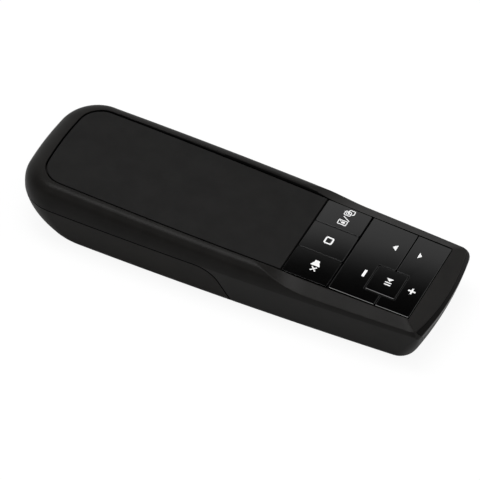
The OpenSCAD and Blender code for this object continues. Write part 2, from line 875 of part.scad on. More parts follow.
module bridge_contact() {
    color([0.82, 0.8, 0.75]) {
        translate([bay_rear, -cell_pitch / 2 - plate_w / 2, cell_z - plate_low])
            cube([contact_t, cell_pitch + plate_w, bridge_h]);
        translate([bay_rear + contact_t - 0.1, -cell_pitch / 2, cell_z])
            rotate([0, 90, 0])
                cylinder(r1 = 2, r2 = 1.2, h = nub_l);
    }
}

// Two wires over the bay's ceiling, from the front contacts down to the board
module battery_leads() {
    x0 = bay_front + 0.05;
    x1 = key_x + board_rear + 2.5;
    color([0.6, 0.1, 0.08])
        for (s = [-1, 1])
            translate([0, s * cell_pitch / 2, 0]) {
                translate([x0, 0, lead_z])
                    rotate([0, 90, 0]) cylinder(r = lead_r, h = x1 - x0, $fn = 24);
                translate([x1, 0, lead_z]) sphere(r = lead_r, $fn = 24);
                post(x1, 0, top_z(x1) + board_z + 0.05, lead_z, lead_r, $fn = 24);
            }
}

// ---------- receiver and screws ----------

module receiver_body() {
    color([0.1, 0.1, 0.1])
        translate([receiver_x - receiver_w / 2, receiver_split, receiver_z - receiver_t / 2])
            cube([receiver_w, receiver_head_l, receiver_t]);
}

module receiver_plug() {
    color([0.8, 0.8, 0.82])
        translate([receiver_x - receiver_w / 2, receiver_split - plug_l, receiver_z - plug_t / 2])
            difference() {
                cube([receiver_w, plug_l, plug_t]);
                translate([plug_shell_t, -1, plug_t / 2])
                    cube([receiver_w - 2 * plug_shell_t, plug_l - 1, plug_t / 2 - plug_shell_t]);
            }
}

module screw(x, y, seat, tip) {
    post(x, y, seat - head_h, seat, head_r);
    post(x, y, seat - 0.1, tip, shank_r);
}

module housing_screws() {
    color([0.5, 0.5, 0.52])
        for (s = [-1, 1]) {
            screw(front_screw_x, s * front_screw_y, screw_seat_z, top_z(front_screw_x) + deck_z - 0.6);
            screw(bay_screw_x, s * bay_screw_y, ceiling_z, top_z(bay_screw_x) + deck_z - 0.6);
        }
}

housing();
battery_cover();
base();
top_panel();
end_window();
key_window();
key_blank();
key_mute();
rocker_rear();
rocker_front();
key_play();
key_guide();
keypad_mat();
snap_domes();
circuit_board();
control_chip();
radio_chip();
crystal();
status_led();
switch_body();
power_slider();
cell_far();
cell_near();
cell_springs();
spring_contact();
plate_contact();
bridge_contact();
battery_leads();
receiver_body();
receiver_plug();
housing_screws();
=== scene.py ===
# Looks of the wireless presentation clicker.
# Sizes are in mm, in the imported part's frame, until mesh_object() turns them into metres.
import math

import bmesh
import bpy
import numpy as np
from mathutils import Matrix, Vector
from mathutils.bvhtree import BVHTree
from mathutils.interpolate import poly_3d_calc

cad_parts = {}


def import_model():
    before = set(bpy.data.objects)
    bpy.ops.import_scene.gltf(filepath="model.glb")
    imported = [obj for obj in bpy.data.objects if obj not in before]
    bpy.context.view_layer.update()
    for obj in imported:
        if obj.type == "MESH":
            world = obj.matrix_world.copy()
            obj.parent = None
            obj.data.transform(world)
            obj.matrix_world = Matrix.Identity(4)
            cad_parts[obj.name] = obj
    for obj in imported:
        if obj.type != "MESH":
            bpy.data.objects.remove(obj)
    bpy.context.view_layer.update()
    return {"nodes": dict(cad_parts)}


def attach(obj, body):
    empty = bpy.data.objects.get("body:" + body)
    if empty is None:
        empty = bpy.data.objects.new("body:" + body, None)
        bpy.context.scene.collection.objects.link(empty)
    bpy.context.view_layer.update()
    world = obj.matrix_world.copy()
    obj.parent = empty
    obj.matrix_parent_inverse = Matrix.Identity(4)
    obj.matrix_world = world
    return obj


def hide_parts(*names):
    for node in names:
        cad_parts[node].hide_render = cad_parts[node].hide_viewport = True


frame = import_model()

# ---------- sizes, the part's own where no comment says otherwise ----------
BODY_L, BODY_W = 132.2, 42.5
REAR_H, FRONT_H = 21.85, 16.8
WIDEST_BACK, SIDE_R, NOSE_R, TAIL_R = 31.8, 1620.0, 102.0, 102.0
# Corner radii, and how much they grow towards the floor; the nose's are sharper than the part's
NOSE_CORNER, TAIL_CORNER, NOSE_GROW, TAIL_GROW = 0.8, 12.9, 4.2, 1.4
PARTING_Z, SHOULDER_W, SHOULDER_N, TAIL_SHOULDER = 13.65, 5.15, 2.7, 1.75
LIP_REAR, LIP_FRONT = 0.1, 0.9
SIDE_DRAW, TAIL_DRAW, TAIL_N, NOSE_DRAW, NOSE_N, BOTTOM_R = 1.8, 13.1, 2.2, 5.1, 1.3, 2.75
WALL = 1.6
FIELD_L, NOSE_RIM, TAIL_RIM = 39.9, 6.1, 6.85
KEY_REAR, KEY_FRONT = 15.9, 15.2
PANEL_HALF, PANEL_SIDE_R, PANEL_CORNER, PANEL_T = 16.7, 1800.0, 7.5, 1.2
KEY_DROP, CAP_T, KEY_GAP = 0.3, 1.4, 0.25
RIM_SLOPE, NOSE_SLOPE, RAMP_SLOPE, RAMP_X = 24.5, 19.5, 6.5, 2.0
# Beside the keys' rear end the rim twists into the bezel; the part has a plane there
TWIST_START, TWIST_END = -8.0, 11.0
DECK_Z, POCKET_Z = -2.7, -1.3
# The seam as it looks at the surface, wider than the part's
SEEN_GAP = 0.48
TILT = math.atan((REAR_H - FRONT_H) / BODY_L)
KEY_X = BODY_L / 2 - NOSE_RIM - FIELD_L
PANEL_L = BODY_L - NOSE_RIM - FIELD_L - TAIL_RIM
MID_H = (REAR_H + FRONT_H) / 2
TOP_H = MID_H - KEY_X * math.tan(TILT)
BAY_REAR, BAY_FRONT = -57.2, -7.3
# The cover's front edge: where it meets the floor, its slant and the radius of its upper bend
FOOT_X, COVER_LEAN, COVER_TURN = 6.7, 25.5, 8.0
# The walls' share at the nose, and in the radius of the tail's corners
NOSE_WALL, CORNER_WALL = 1.5, 0.8
# In front of NOSE_FROM the nose leans back from NOSE_BEND below the top, by LEAN_RUN in LEAN_RISE
NOSE_FROM, NOSE_BEND, LEAN_RUN, LEAN_RISE = 40, 4.35, 0.95, 2.1
BOW_CENTRE = np.array([BODY_L / 2 - NOSE_R, 0])

SIN, COS = math.sin(TILT), math.cos(TILT)


def on_top(p):
    """Points of the sloping top's frame, as points of the part's frame."""
    p = np.atleast_2d(np.asarray(p, float))
    return np.c_[
        KEY_X + p[:, 0] * COS + p[:, 2] * SIN, p[:, 1], TOP_H - p[:, 0] * SIN + p[:, 2] * COS]


def top_z(x):
    return MID_H - x * math.tan(TILT)


def unit(v):
    return v / np.linalg.norm(v, axis=1)[:, None]


def soft_min(a, b, k):
    """The smaller of two, rounded over where they are less than k apart."""
    h = np.maximum(k - np.abs(a - b), 0)
    return np.minimum(a, b) - h * h / (4 * k)


# ---------- outlines ----------
def meet(a, ra, b, rb, s):
    """Where two circles cross, on the side s of the line from a to b."""
    d = math.dist(a, b)
    u = ((b[0] - a[0]) / d, (b[1] - a[1]) / d)
    k = (d * d + ra * ra - rb * rb) / (2 * d)
    h = s * math.sqrt(ra * ra - k * k)
    return (a[0] + k * u[0] - h * u[1], a[1] + k * u[1] + h * u[0])


def bearing(a, b):
    return math.atan2(b[1] - a[1], b[0] - a[0])


def arc(c, r, a, b, shares):
    t = a + (b - a) * np.asarray(shares)
    return np.c_[c[0] + r * np.cos(t), c[1] + r * np.sin(t)]


SIDE_RUN, FINE_FROM, FINE_TO, FINE_STEP, STEP = 117, 32, 58, 0.45, 1.7


def side_shares():
    """Shares of the long side from nose to tail, close together where the raised bezel ends."""
    x = [0.0]
    while x[-1] < SIDE_RUN:
        x.append(x[-1] + (FINE_STEP if FINE_FROM < x[-1] < FINE_TO else STEP))
    return np.array(x[:-1]) / x[-1]


BOW = np.arange(26) / 26
NOSE_TURN = np.arange(12) / 12
SIDE = side_shares()
TAIL_TURN = np.arange(34) / 34
STERN = np.arange(13) / 13


def half_outline(half, nose, tail, widest, sr, nc, tc):
    """The half with y > 0: five arcs. Side, nose corner and tail corner have radii sr, nc, tc."""
    side, bow, stern = (widest, half - sr), (nose - NOSE_R, 0), (tail + TAIL_R, 0)
    c1 = meet(side, sr - nc, bow, NOSE_R - nc, -1)
    c2 = meet(side, sr - tc, stern, TAIL_R - tc, 1)
    a1, a2, a3, a4 = bearing(bow, c1), bearing(side, c1), bearing(side, c2), bearing(stern, c2)
    return np.concatenate([
        arc(bow, NOSE_R, 0, a1, BOW), arc(c1, nc, a1, a2, NOSE_TURN),
        arc(side, sr, a2, a3, SIDE),
        arc(c2, tc, a3, a4, TAIL_TURN), arc(stern, TAIL_R, a4, math.pi, STERN), [[tail, 0]]])


def whole(half):
    """A half outline and its mirror image, as one closed ring."""
    other = half[-2:0:-1] * ([1, -1] if half.shape[1] == 2 else [1, -1, 1])
    return np.concatenate([half, other])


def body_outline(side_in, tail_in, nose_in, nc, tc):
    return whole(half_outline(BODY_W / 2 - side_in, BODY_L / 2 - nose_in, -BODY_L / 2 + tail_in,
                              -WIDEST_BACK, SIDE_R, nc, tc))


# The panel's outline runs on under the keys to here; the columns of the opening's edge move
# within TAIL_FIT of its rear end, and in front of FIELD_FIT, to meet its corners
PANEL_NOSE, PANEL_NOSE_C, FIELD_CORNER, TAIL_FIT, FIELD_FIT, BEHIND = 20, 2, 0.5, 20, 30, -90


def panel_outline(grow):
    return half_outline(PANEL_HALF + grow, PANEL_NOSE, -PANEL_L - grow, -WIDEST_BACK - KEY_X,
                        PANEL_SIDE_R, PANEL_NOSE_C, PANEL_CORNER + grow)


def opening_outline():
    """The edge of panel and key field in the top's frame, column by column with the body's."""
    p = panel_outline(0)
    a, b = len(BOW), len(BOW) + len(NOSE_TURN)
    c = b + len(SIDE)
    r = FIELD_CORNER
    p[:a] = np.c_[np.full(a, FIELD_L), BOW * (KEY_FRONT - r)]
    t = NOSE_TURN * math.pi / 2
    p[a:b] = np.c_[FIELD_L - r + r * np.cos(t), KEY_FRONT - r + r * np.sin(t)]
    outer = body_outline(0, 0, 0, NOSE_CORNER, TAIL_CORNER)[b:c, 0] - KEY_X
    x = np.interp(outer, [BEHIND, FIELD_FIT, outer[0]], [BEHIND, FIELD_FIT, FIELD_L - r])
    rear = p[c, 0]
    moved_x = rear + (x - outer[-1]) * TAIL_FIT / (rear + TAIL_FIT - outer[-1])
    x = np.where(x < rear + TAIL_FIT, moved_x, x)
    key = np.interp(x, [0, FIELD_L], [KEY_REAR, KEY_FRONT])
    panel = PANEL_HALF - (x + WIDEST_BACK + KEY_X) ** 2 / (2 * PANEL_SIDE_R)
    p[b:c] = np.c_[x, np.where(x > 0, key, panel)]
    return whole(p)


# ---------- the body's skin ----------
def low_share(z):
    """0 at the parting line and 1 where the bottom's round begins."""
    return min(1, max(0, (PARTING_Z - z) / (PARTING_Z - BOTTOM_R)))


def cut_under(q, n):
    """How far a superelliptic underside has drawn in at the share q of its height."""
    return 1 - max(0, 1 - min(q, 1) ** n) ** (1 / n)


def foot_in(z, floor_z):
    """How far the bottom's round has drawn in at height z."""
    r, h = BOTTOM_R - floor_z, max(0, BOTTOM_R - z)
    return r - math.sqrt(max(0, r * r - h * h))


NOSE_BEND_Z = top_z(BODY_L / 2) - NOSE_BEND


def nose_setback(z):
    """How far the leaning nose lies behind the parting line's bow at height z."""
    return np.clip((z - NOSE_BEND_Z) / LEAN_RISE * LEAN_RUN, 0, None)


def low_ring(z, skin, floor_z):
    """The outline below the parting line at height z, this far inside the skin."""
    k, q = low_share(z), (PARTING_Z - z) / (PARTING_Z - floor_z)
    p = body_outline(
        SIDE_DRAW * k + foot_in(z, floor_z) + skin, TAIL_DRAW * cut_under(q, TAIL_N) + skin,
        NOSE_DRAW * cut_under(q, NOSE_N) + skin * NOSE_WALL,
        NOSE_CORNER + NOSE_GROW * k, TAIL_CORNER + TAIL_GROW * k - skin * CORNER_WALL)
    if skin == 0:
        p = lean_back(p, z)
    return np.c_[p, np.full(len(p), z)]


def lean_back(p, z):
    rho = np.linalg.norm(p - BOW_CENTRE, axis=1)
    limit = NOSE_R - nose_setback(z)
    f = np.where((p[:, 0] > NOSE_FROM) & (rho > limit), limit / rho, 1)
    return BOW_CENTRE + (p - BOW_CENTRE) * f[:, None]


def shoulder_depth(x, y):
    """How far a point of the plan lies inside the parting line, across the rounded shoulder."""
    a = BODY_W / 2 - np.abs(y) - (x + WIDEST_BACK) ** 2 / (2 * SIDE_R)
    b = x + BODY_L / 2 - y * y / (2 * TAIL_R)
    lo, hi = np.full_like(a, -1.0), np.minimum(a, b / TAIL_SHOULDER)
    hi = np.maximum(hi, lo + 1e-6)
    top = hi.copy()
    for _ in range(30):
        w = (lo + hi) / 2
        r = TAIL_CORNER - TAIL_SHOULDER * w
        da, db = a - w, b - TAIL_SHOULDER * w
        inside = (np.maximum(r - da, 0) ** 2 + np.maximum(r - db, 0) ** 2) <= r * r
        lo, hi = np.where(inside, w, lo), np.where(inside, hi, w)
    return np.minimum(lo, top)


# How softly the top's surfaces meet: ramp and rim, rim and bezel, rim and nose, the opening's
# edge as far as EDGE_END, and the top and the leaning nose
RAMP_SOFT, CREASE_SOFT, NOSE_SOFT, EDGE_SOFT, EDGE_END, LEAN_SOFT = 0.3, 0.14, 0.3, 0.12, 4, 0.1
# The rim begins this far inside the keys' edge, and the nose's slope this far below the rim
RIM_IN, NOSE_STEP = 0.35, 0.1
TOP_ROWS, FINE, CROWD, BEND_WEIGHT, FAR_UP = 46, 260, 1.6, 0.35, 1e3


def slope_of(degrees):
    return math.tan(math.radians(degrees))


def top_height(x, y, out, slip):
    """Height of the top's skin at a point that lies this far out from the opening's edge."""
    z_t = np.zeros_like(x)
    for _ in range(4):
        x_t = (x - KEY_X - z_t * SIN) / COS
        w = np.maximum(shoulder_depth(x, y) - slip, 0)
        s = np.clip(1 - w / SHOULDER_W, 0, 1)
        f = 1 - np.maximum(1 - s ** SHOULDER_N, 0) ** (1 / SHOULDER_N)
        lip = LIP_REAR + (LIP_FRONT - LIP_REAR) * (x_t + PANEL_L) / PANEL_L
        bezel = lip * (1 - f) - (top_z(x) - PARTING_Z) * f
        u = np.clip((x_t - TWIST_START) / (TWIST_END - TWIST_START), 0, 1)
        across = (np.abs(y) - KEY_REAR + RIM_IN) * slope_of(RIM_SLOPE) * u * u * (3 - 2 * u)
        rise = (RAMP_X - x_t) * slope_of(RAMP_SLOPE)
        ramp = -soft_min(-rise, np.zeros_like(rise), RAMP_SOFT)
        side = -KEY_DROP - across + ramp
        front = -KEY_DROP - NOSE_STEP - (x_t - FIELD_L) * slope_of(NOSE_SLOPE)
        z_t = soft_min(bezel, side, CREASE_SOFT)
        z_t = soft_min(z_t, front, NOSE_SOFT)
        z_t = np.where(x_t < EDGE_END, soft_min(z_t, out, EDGE_SOFT), z_t)
    return TOP_H - x_t * SIN + z_t * COS


def resample(p, rows):
    """The same line with its points closer together where it bends."""
    d = np.diff(p, axis=0)
    length = np.linalg.norm(d, axis=1)
    u = d / np.maximum(length, 1e-9)[:, None]
    turn = np.arccos(np.clip((u[1:] * u[:-1]).sum(1), -1, 1))
    weight = length.copy()
    weight[1:] += BEND_WEIGHT * turn
    weight[:-1] += BEND_WEIGHT * turn
    s = np.concatenate([[0], np.cumsum(weight)])
    want = np.linspace(0, s[-1], rows)
    return np.stack([np.interp(want, s, p[:, k]) for k in range(3)], axis=1)


def top_band():
    """Rings from the opening's edge over bezel, rims and shoulder down to the parting line."""
    outer = body_outline(0, 0, 0, NOSE_CORNER, TAIL_CORNER)
    edge_t = opening_outline()
    inner = level(edge_t, 0)[:, :2]
    t = 1 - (np.linspace(0, 1, FINE) ** CROWD)[::-1]
    cols = []
    for p, q in zip(outer, inner):
        path = q + (p - q) * t[:, None]
        out = np.linalg.norm(path - q, axis=1)
        w0 = shoulder_depth(np.array([p[0]]), np.array([p[1]]))[0]
        z = top_height(path[:, 0], path[:, 1], out, w0 * t)
        rho = np.linalg.norm(path - BOW_CENTRE, axis=1)
        lean = np.where(path[:, 0] > NOSE_FROM,
                        NOSE_BEND_Z + (NOSE_R - rho) * LEAN_RISE / LEAN_RUN, FAR_UP)
        z = soft_min(z, lean, LEAN_SOFT)
        line = np.c_[path, z]
        low = np.nonzero(z <= PARTING_Z)[0]
        if len(low) and low[0] > 0:
            k = low[0]
            f = (z[k - 1] - PARTING_Z) / (z[k - 1] - z[k])
            line = np.concatenate([line[:k], [line[k - 1] + f * (line[k] - line[k - 1])]])
        line[-1, 2] = PARTING_Z
        cols.append(resample(line, TOP_ROWS))
    return np.stack(cols, axis=1), edge_t


OPENING_ROUND = 0.14
ROUND_TURNS = np.radians([0, 22, 45, 68])


def edge_rows(first, second, wall):
    """The foot of the opening's upright wall, and a small round from the wall to the top band."""
    out, r = unit(second[:, :2] - first[:, :2]), OPENING_ROUND
    return [wall] + [
        np.c_[first[:, :2] + out * r * (1 - math.cos(a)), first[:, 2] - r * (1 - math.sin(a))]
        for a in ROUND_TURNS]


# ---------- meshes ----------
def new_object(name, data):
    ob = bpy.data.objects.new(name, data)
    bpy.context.scene.collection.objects.link(ob)
    return ob


def discard(ob):
    data = ob.data
    bpy.data.objects.remove(ob)
    bpy.data.meshes.remove(data)


def mesh_object(name, verts, faces, material=None, angle=30):
    """An object in metres from a mesh in mm."""
    mesh = bpy.data.meshes.new(name)
    mesh.from_pydata((np.asarray(verts, float) / 1000).tolist(), [], faces)
    bm = bmesh.new()
    bm.from_mesh(mesh)
    bmesh.ops.recalc_face_normals(bm, faces=bm.faces)
    bm.to_mesh(mesh)
    bm.free()
    ob = new_object(name, mesh)
    if material:
        mesh.materials.append(material)
    smooth(ob, angle)
    return ob


FLAT_WEIGHT = 90


def smooth(ob, angle):
    """Smooth shading that stays flat on the large faces beside a round."""
    ob.data.polygons.foreach_set("use_smooth", [True] * len(ob.data.polygons))
    ob.data.set_sharp_from_angle(angle=math.radians(angle))
    m = ob.modifiers.new("shade", "WEIGHTED_NORMAL")
    m.mode, m.keep_sharp, m.weight = "FACE_AREA", True, FLAT_WEIGHT
    apply_modifiers(ob)


def skin_of(ob):
    """What restore_normals() needs to know of a surface before it is cut."""
    mesh = ob.data
    verts = [v.co.copy() for v in mesh.vertices]
    polys = [tuple(p.vertices) for p in mesh.polygons]
    starts = [p.loop_start for p in mesh.polygons]
    normals = [n.vector.copy() for n in mesh.corner_normals]
    return BVHTree.FromPolygons(verts, polys), verts, polys, starts, normals


# In metres: how far from a corner the old surface is looked up, and how far away it may be
NUDGE, NUDGE_SHARE, REACH = 5e-5, 0.3, 3e-5
SAME_WAY = 0.88


def restore_normals(ob, skin):
    """Shades what is left of the uncut surface as before, so no cut edge shows as a ripple."""
    tree, verts, polys, starts, normals = skin
    mesh = ob.data
    out = [n.vector.copy() for n in mesh.corner_normals]
    for face in mesh.polygons:
        centre = face.center
        for k in face.loop_indices:
            co = mesh.vertices[mesh.loops[k].vertex_index].co
            way = centre - co
            at = co + way * min(NUDGE / max(way.length, 1e-9), NUDGE_SHARE)
            hit, _, i, _ = tree.find_nearest(at, REACH)
            if hit is None:
                continue
            share = poly_3d_calc([verts[v] for v in polys[i]], hit)
            n = sum((normals[starts[i] + j] * w for j, w in enumerate(share)), Vector())
            if n.length > 0 and n.normalized().dot(face.normal) > SAME_WAY:
                out[k] = n.normalized()
    mesh.normals_split_custom_set(out)


def ring_faces(rows, n, closed_rows=False, start=0):
    """Faces between rings of n points each."""
    faces = []
    for r in range(rows if closed_rows else rows - 1):
        a, b = start + r * n, start + ((r + 1) % rows) * n
        faces += [(a + k, a + (k + 1) % n, b + (k + 1) % n, b + k) for k in range(n)]
    return faces


def tube_mesh(rings):
    """A closed solid of rings, capped at both ends."""
    n = len(rings[0])
    faces = ring_faces(len(rings), n)
    faces.append(tuple(range(n))[::-1])
    faces.append(tuple(range((len(rings) - 1) * n, len(rings) * n)))
    return np.concatenate(rings), faces


def join_mesh(parts):
    """Several (verts, faces) as one."""
    verts, faces, start = [], [], 0
    for v, f in parts:
        verts.append(np.asarray(v, float))
        faces += [tuple(i + start for i in face) for face in f]
        start += len(v)
    return np.concatenate(verts), faces


def box_mesh(lo, hi):
    x, y, z = zip(lo, hi)
    v = [(x[i], y[j], z[k]) for i in (0, 1) for j in (0, 1) for k in (0, 1)]
    f = [(0, 1, 3, 2), (4, 6, 7, 5), (0, 4, 5, 1), (2, 3, 7, 6), (0, 2, 6, 4), (1, 5, 7, 3)]
    return np.array(v, float), f


def apply_modifiers(ob):
    depsgraph = bpy.context.evaluated_depsgraph_get()
    mesh = bpy.data.meshes.new_from_object(ob.evaluated_get(depsgraph))
    ob.modifiers.clear()
    old = ob.data
    ob.data = mesh
    bpy.data.meshes.remove(old)


def cut(ob, tools, operation="DIFFERENCE", material=None):
    """Boolean cuts with these (verts, faces); a material given here goes on the cut faces."""
    for k, tool in enumerate(tools):
        cutter = mesh_object(f"{ob.name}_tool_{k}", *tool, material)
        m = ob.modifiers.new("cut", "BOOLEAN")
        if material:
            m.material_mode = "TRANSFER"
        m.operation, m.solver, m.object = operation, "EXACT", cutter
        bpy.context.view_layer.update()
        apply_modifiers(ob)
        discard(cutter)


def join_objects(ob, others):
    """Adds the other objects' meshes to ob's."""
    bm = bmesh.new()
    bm.from_mesh(ob.data)
    for o in others:
        bm.from_mesh(o.data)
        discard(o)
    bm.to_mesh(ob.data)
    bm.free()


EDGE_ANGLE = 35


def bevelled(ob, width, segments):
    m = ob.modifiers.new("edge", "BEVEL")
    m.width, m.segments = width / 1000, segments
    m.limit_method, m.angle_limit = "ANGLE", math.radians(EDGE_ANGLE)
    m.use_clamp_overlap = True
    apply_modifiers(ob)


def place(ob, body, slot, *nodes):
    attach(ob, body)
    if nodes:
        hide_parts(*nodes)


# ---------- materials ----------
def new_material(name):
    m = bpy.data.materials.new(name)
    m.use_nodes = True
    nodes = m.node_tree.nodes
    bsdf = next(n for n in nodes if n.type == "BSDF_PRINCIPLED")
    return m, m.node_tree, bsdf


def add(tree, kind, inputs=None, **settings):
    """A new node, with these numbers or links in its inputs."""
    node = tree.nodes.new("ShaderNode" + kind)
    for key, value in settings.items():
        setattr(node, key, value)
    for key, value in (inputs or {}).items():
        if isinstance(value, bpy.types.NodeSocket):
            tree.links.new(value, node.inputs[key])
        else:
            node.inputs[key].default_value = value
    return node


def math_node(tree, operation, a, b):
    return add(tree, "Math", {0: a, 1: b}, operation=operation).outputs[0]


def mixed(tree, share, a, b):
    return add(tree, "MixShader", {0: share, 1: a.outputs[0], 2: b.outputs[0]})


def ramp(tree, source, stops):
    """A colour ramp through these (position, colour) stops."""
    r = add(tree, "ValToRGB", {"Fac": source})
    r.color_ramp.elements.remove(r.color_ramp.elements[1])
    for k, (pos, col) in enumerate(stops):
        e = r.color_ramp.elements[0] if k == 0 else r.color_ramp.elements.new(pos)
        e.position = pos
        e.color = (*col, 1)
    return r.outputs["Color"]


CLOUD_SCALE, CLOUD_DETAIL, GRAIN_DETAIL, NOISE_ROUGH = 160, 4, 2, 0.55
# Uneven gloss: the noise's share of the grain's scale, and the lowest and highest roughness
GLOSS_GRAIN, GLOSS_LOW, GLOSS_HIGH, GRAIN_BUMP = 0.6, 0.93, 1.07, 0.35
STREAK_SCALE, STREAK_DETAIL, STREAK_LOW, STREAK_HIGH, STREAK_BUMP = 900, 3, 0.8, 1.2, 0.2
STREAK_DEPTH = 0.000004


def noise(tree, scale, detail, stretch=None):
    coord = add(tree, "TexCoord").outputs["Object"]
    if stretch:
        coord = add(tree, "Mapping", {"Scale": stretch, "Vector": coord}).outputs["Vector"]
    return add(tree, "TexNoise", {"Vector": coord, "Scale": scale, "Detail": detail,
                                  "Roughness": NOISE_ROUGH}).outputs["Fac"]


def bump(tree, bsdf, height, strength, distance):
    b = add(tree, "Bump", {"Strength": strength, "Distance": distance, "Height": height})
    tree.links.new(b.outputs["Normal"], bsdf.inputs["Normal"])


def vary(tree, socket, source, low, high, start=0.3):
    """Drives a socket from a noise: low up to start, high from 1 - start on."""
    tree.links.new(ramp(tree, source, [(start, low), (1 - start, high)]), socket)


def grey(v, warm=0.0):
    return (v * (1 + warm), v, v * (1 - warm))


def plastic(name, dark, light, rough, grain=4200, depth=0.000006, warm=0.0, spec=0.5):
    """Moulded plastic: cloudy tone, uneven gloss and a fine moulded grain."""
    m, tree, bsdf = new_material(name)
    vary(tree, bsdf.inputs["Base Color"], noise(tree, CLOUD_SCALE, CLOUD_DETAIL),
         grey(dark, warm), grey(light, warm), 0.35)
    vary(tree, bsdf.inputs["Roughness"], noise(tree, grain * GLOSS_GRAIN, GRAIN_DETAIL),
         grey(rough * GLOSS_LOW), grey(rough * GLOSS_HIGH))
    bsdf.inputs["Specular IOR Level"].default_value = spec
    bump(tree, bsdf, noise(tree, grain, GRAIN_DETAIL), GRAIN_BUMP, depth)
    return m


def metal(name, dark, light, rough, stretch=(1, 1, 1)):
    """Metal with fine streaks along the axis that is stretched least."""
    m, tree, bsdf = new_material(name)
    bsdf.inputs["Metallic"].default_value = 1.0
    streak = noise(tree, STREAK_SCALE, STREAK_DETAIL, stretch)
    vary(tree, bsdf.inputs["Base Color"], streak, dark, light)
    vary(tree, bsdf.inputs["Roughness"], streak,
         grey(rough * STREAK_LOW), grey(rough * STREAK_HIGH))
    bump(tree, bsdf, streak, STREAK_BUMP, STREAK_DEPTH)
    return m


HOUSING = plastic("housing_plastic", 0.0092, 0.0114, 0.35, warm=0.06, depth=0.000005, spec=0.07)
COVER = plastic("cover_plastic", 0.0098, 0.012, 0.37, warm=0.1, depth=0.000006, spec=0.05)
BASE = plastic("base_plastic", 0.009, 0.012, 0.45, depth=0.000008, spec=0.3)
PANEL = plastic("panel_skin", 0.0108, 0.013, 0.5, 6500, depth=0.000007, spec=0.05, warm=0.02)
KEYS = plastic("key_gloss", 0.0004, 0.0006, 0.035, grain=900, depth=0.0000002)
WINDOW = plastic("window_gloss", 0.001, 0.0016, 0.09, 700, depth=0.0000003, warm=0.3, spec=0.05)
# Painted shade: a near-black plastic on the opening's inward walls and on the cover's faces inside
# the seam, standing in for the shadow there
PAINTED_SEAM_SHADE = plastic("painted_seam_shade", 0.0012, 0.002, 0.7, spec=0.05)
INK = plastic("icon_ink", 0.83, 0.9, 0.5, grain=5200, depth=0.000003)


# ---------- housing and cover ----------
HALF_BEYOND, BELOW, BEND_POINTS = 60, 3, 22


def parting_cutter(gap):
    """What lies under the parting line and behind the cover's slanted front edge."""
    foot, top = FOOT_X - gap, PARTING_Z - gap
    lean = math.radians(COVER_LEAN)
    reach = COVER_TURN / math.tan((math.pi / 2 - lean) / 2 + lean)
    c = (foot - top * math.tan(lean) - reach, top - COVER_TURN)
    bend = [(c[0] + COVER_TURN * math.cos(a), c[1] + COVER_TURN * math.sin(a))
            for a in np.linspace(math.pi / 2, lean, BEND_POINTS)]
    line = [(-BODY_L, top), *bend, (foot + BELOW * math.tan(lean), -BELOW), (-BODY_L, -BELOW)]
    return tube_mesh([np.array([(x, s * HALF_BEYOND, z) for x, z in line]) for s in (-1, 1)])


LOW_LEVELS = [13.3, 12.95, 12.45, 11.7, 10.8, 9.8, 8.7, 7.6, 6.5, 5.4, 4.3, 3.4]
FOOT_TURNS = np.radians([0, 12, 24, 36, 47, 57, 66, 74, 81, 86, 90])
ROOM_FOOT, ROOM_SHARES = np.radians([90, 65, 35]), (1, 0.8, 0.6, 0.3)
ROOM_SHOULDER = np.radians([90, 68, 48, 30])


def outer_low_rings():
    levels = LOW_LEVELS + [BOTTOM_R * (1 - math.sin(a)) for a in FOOT_TURNS]
    return [low_ring(z, 0, 0) for z in levels]


def inner_low_rings():
    """The room's wall from the floor up to the parting line."""
    levels = [WALL + (BOTTOM_R - WALL) * (1 - math.sin(a)) for a in ROOM_FOOT]
    levels += [PARTING_Z - (PARTING_Z - BOTTOM_R) * k for k in ROOM_SHARES]
    return [low_ring(z, WALL, WALL) for z in levels]


def inner_shoulder_ring(a):
    """The room's ring under the shoulder, from the parting line at 90 degrees up to the deck."""
    s, f = math.sin(a) ** (2 / SHOULDER_N), 1 - math.cos(a) ** (2 / SHOULDER_N)
    w = SHOULDER_W * (1 - s)
    p = body_outline(w + WALL, w * TAIL_SHOULDER + WALL, WALL * NOSE_WALL, NOSE_CORNER,
                     TAIL_CORNER - w * TAIL_SHOULDER - WALL * CORNER_WALL)
    return np.c_[p, (top_z(p[:, 0]) + DECK_Z) * (1 - f) + PARTING_Z * f]


# The opening for the base in the housing's underside: how far inside the low skin it lies
OPEN_SIDE, OPEN_TAIL, OPEN_NOSE = BOTTOM_R + 0.8, 2, 2.5


def base_opening(z):
    p = body_outline(SIDE_DRAW + OPEN_SIDE, TAIL_DRAW + OPEN_TAIL, NOSE_DRAW + OPEN_NOSE,
                     NOSE_CORNER + NOSE_GROW, TAIL_CORNER)
    return np.c_[p, np.full(len(p), z)]


def level(outline, z):
    """A plan outline at this height of the top's frame."""
    return on_top(np.c_[outline, np.full(len(outline), z)])


def clipped_panel(grow, front):
    """The panel's outline, cut off straight at the keys."""
    p = panel_outline(grow)
    p = p[p[:, 0] < front - 0.01]
    y = PANEL_HALF + grow - (front + WIDEST_BACK + KEY_X) ** 2 / (2 * PANEL_SIDE_R)
    return whole(np.concatenate([[[front, 0]], [[front, y * 0.5]], [[front, y]], p]))


def nose_x(y, z):
    """Where the nose's skin lies at this height, across the nose."""
    q = np.clip((PARTING_Z - z) / PARTING_Z, 0, 1)
    draw = [NOSE_DRAW * cut_under(float(v), NOSE_N) for v in np.ravel(q)]
    r = NOSE_R - np.maximum(nose_setback(z), np.reshape(draw, np.shape(q)))
    return BOW_CENTRE[0] + np.sqrt(np.maximum(r * r - y * y, 0))


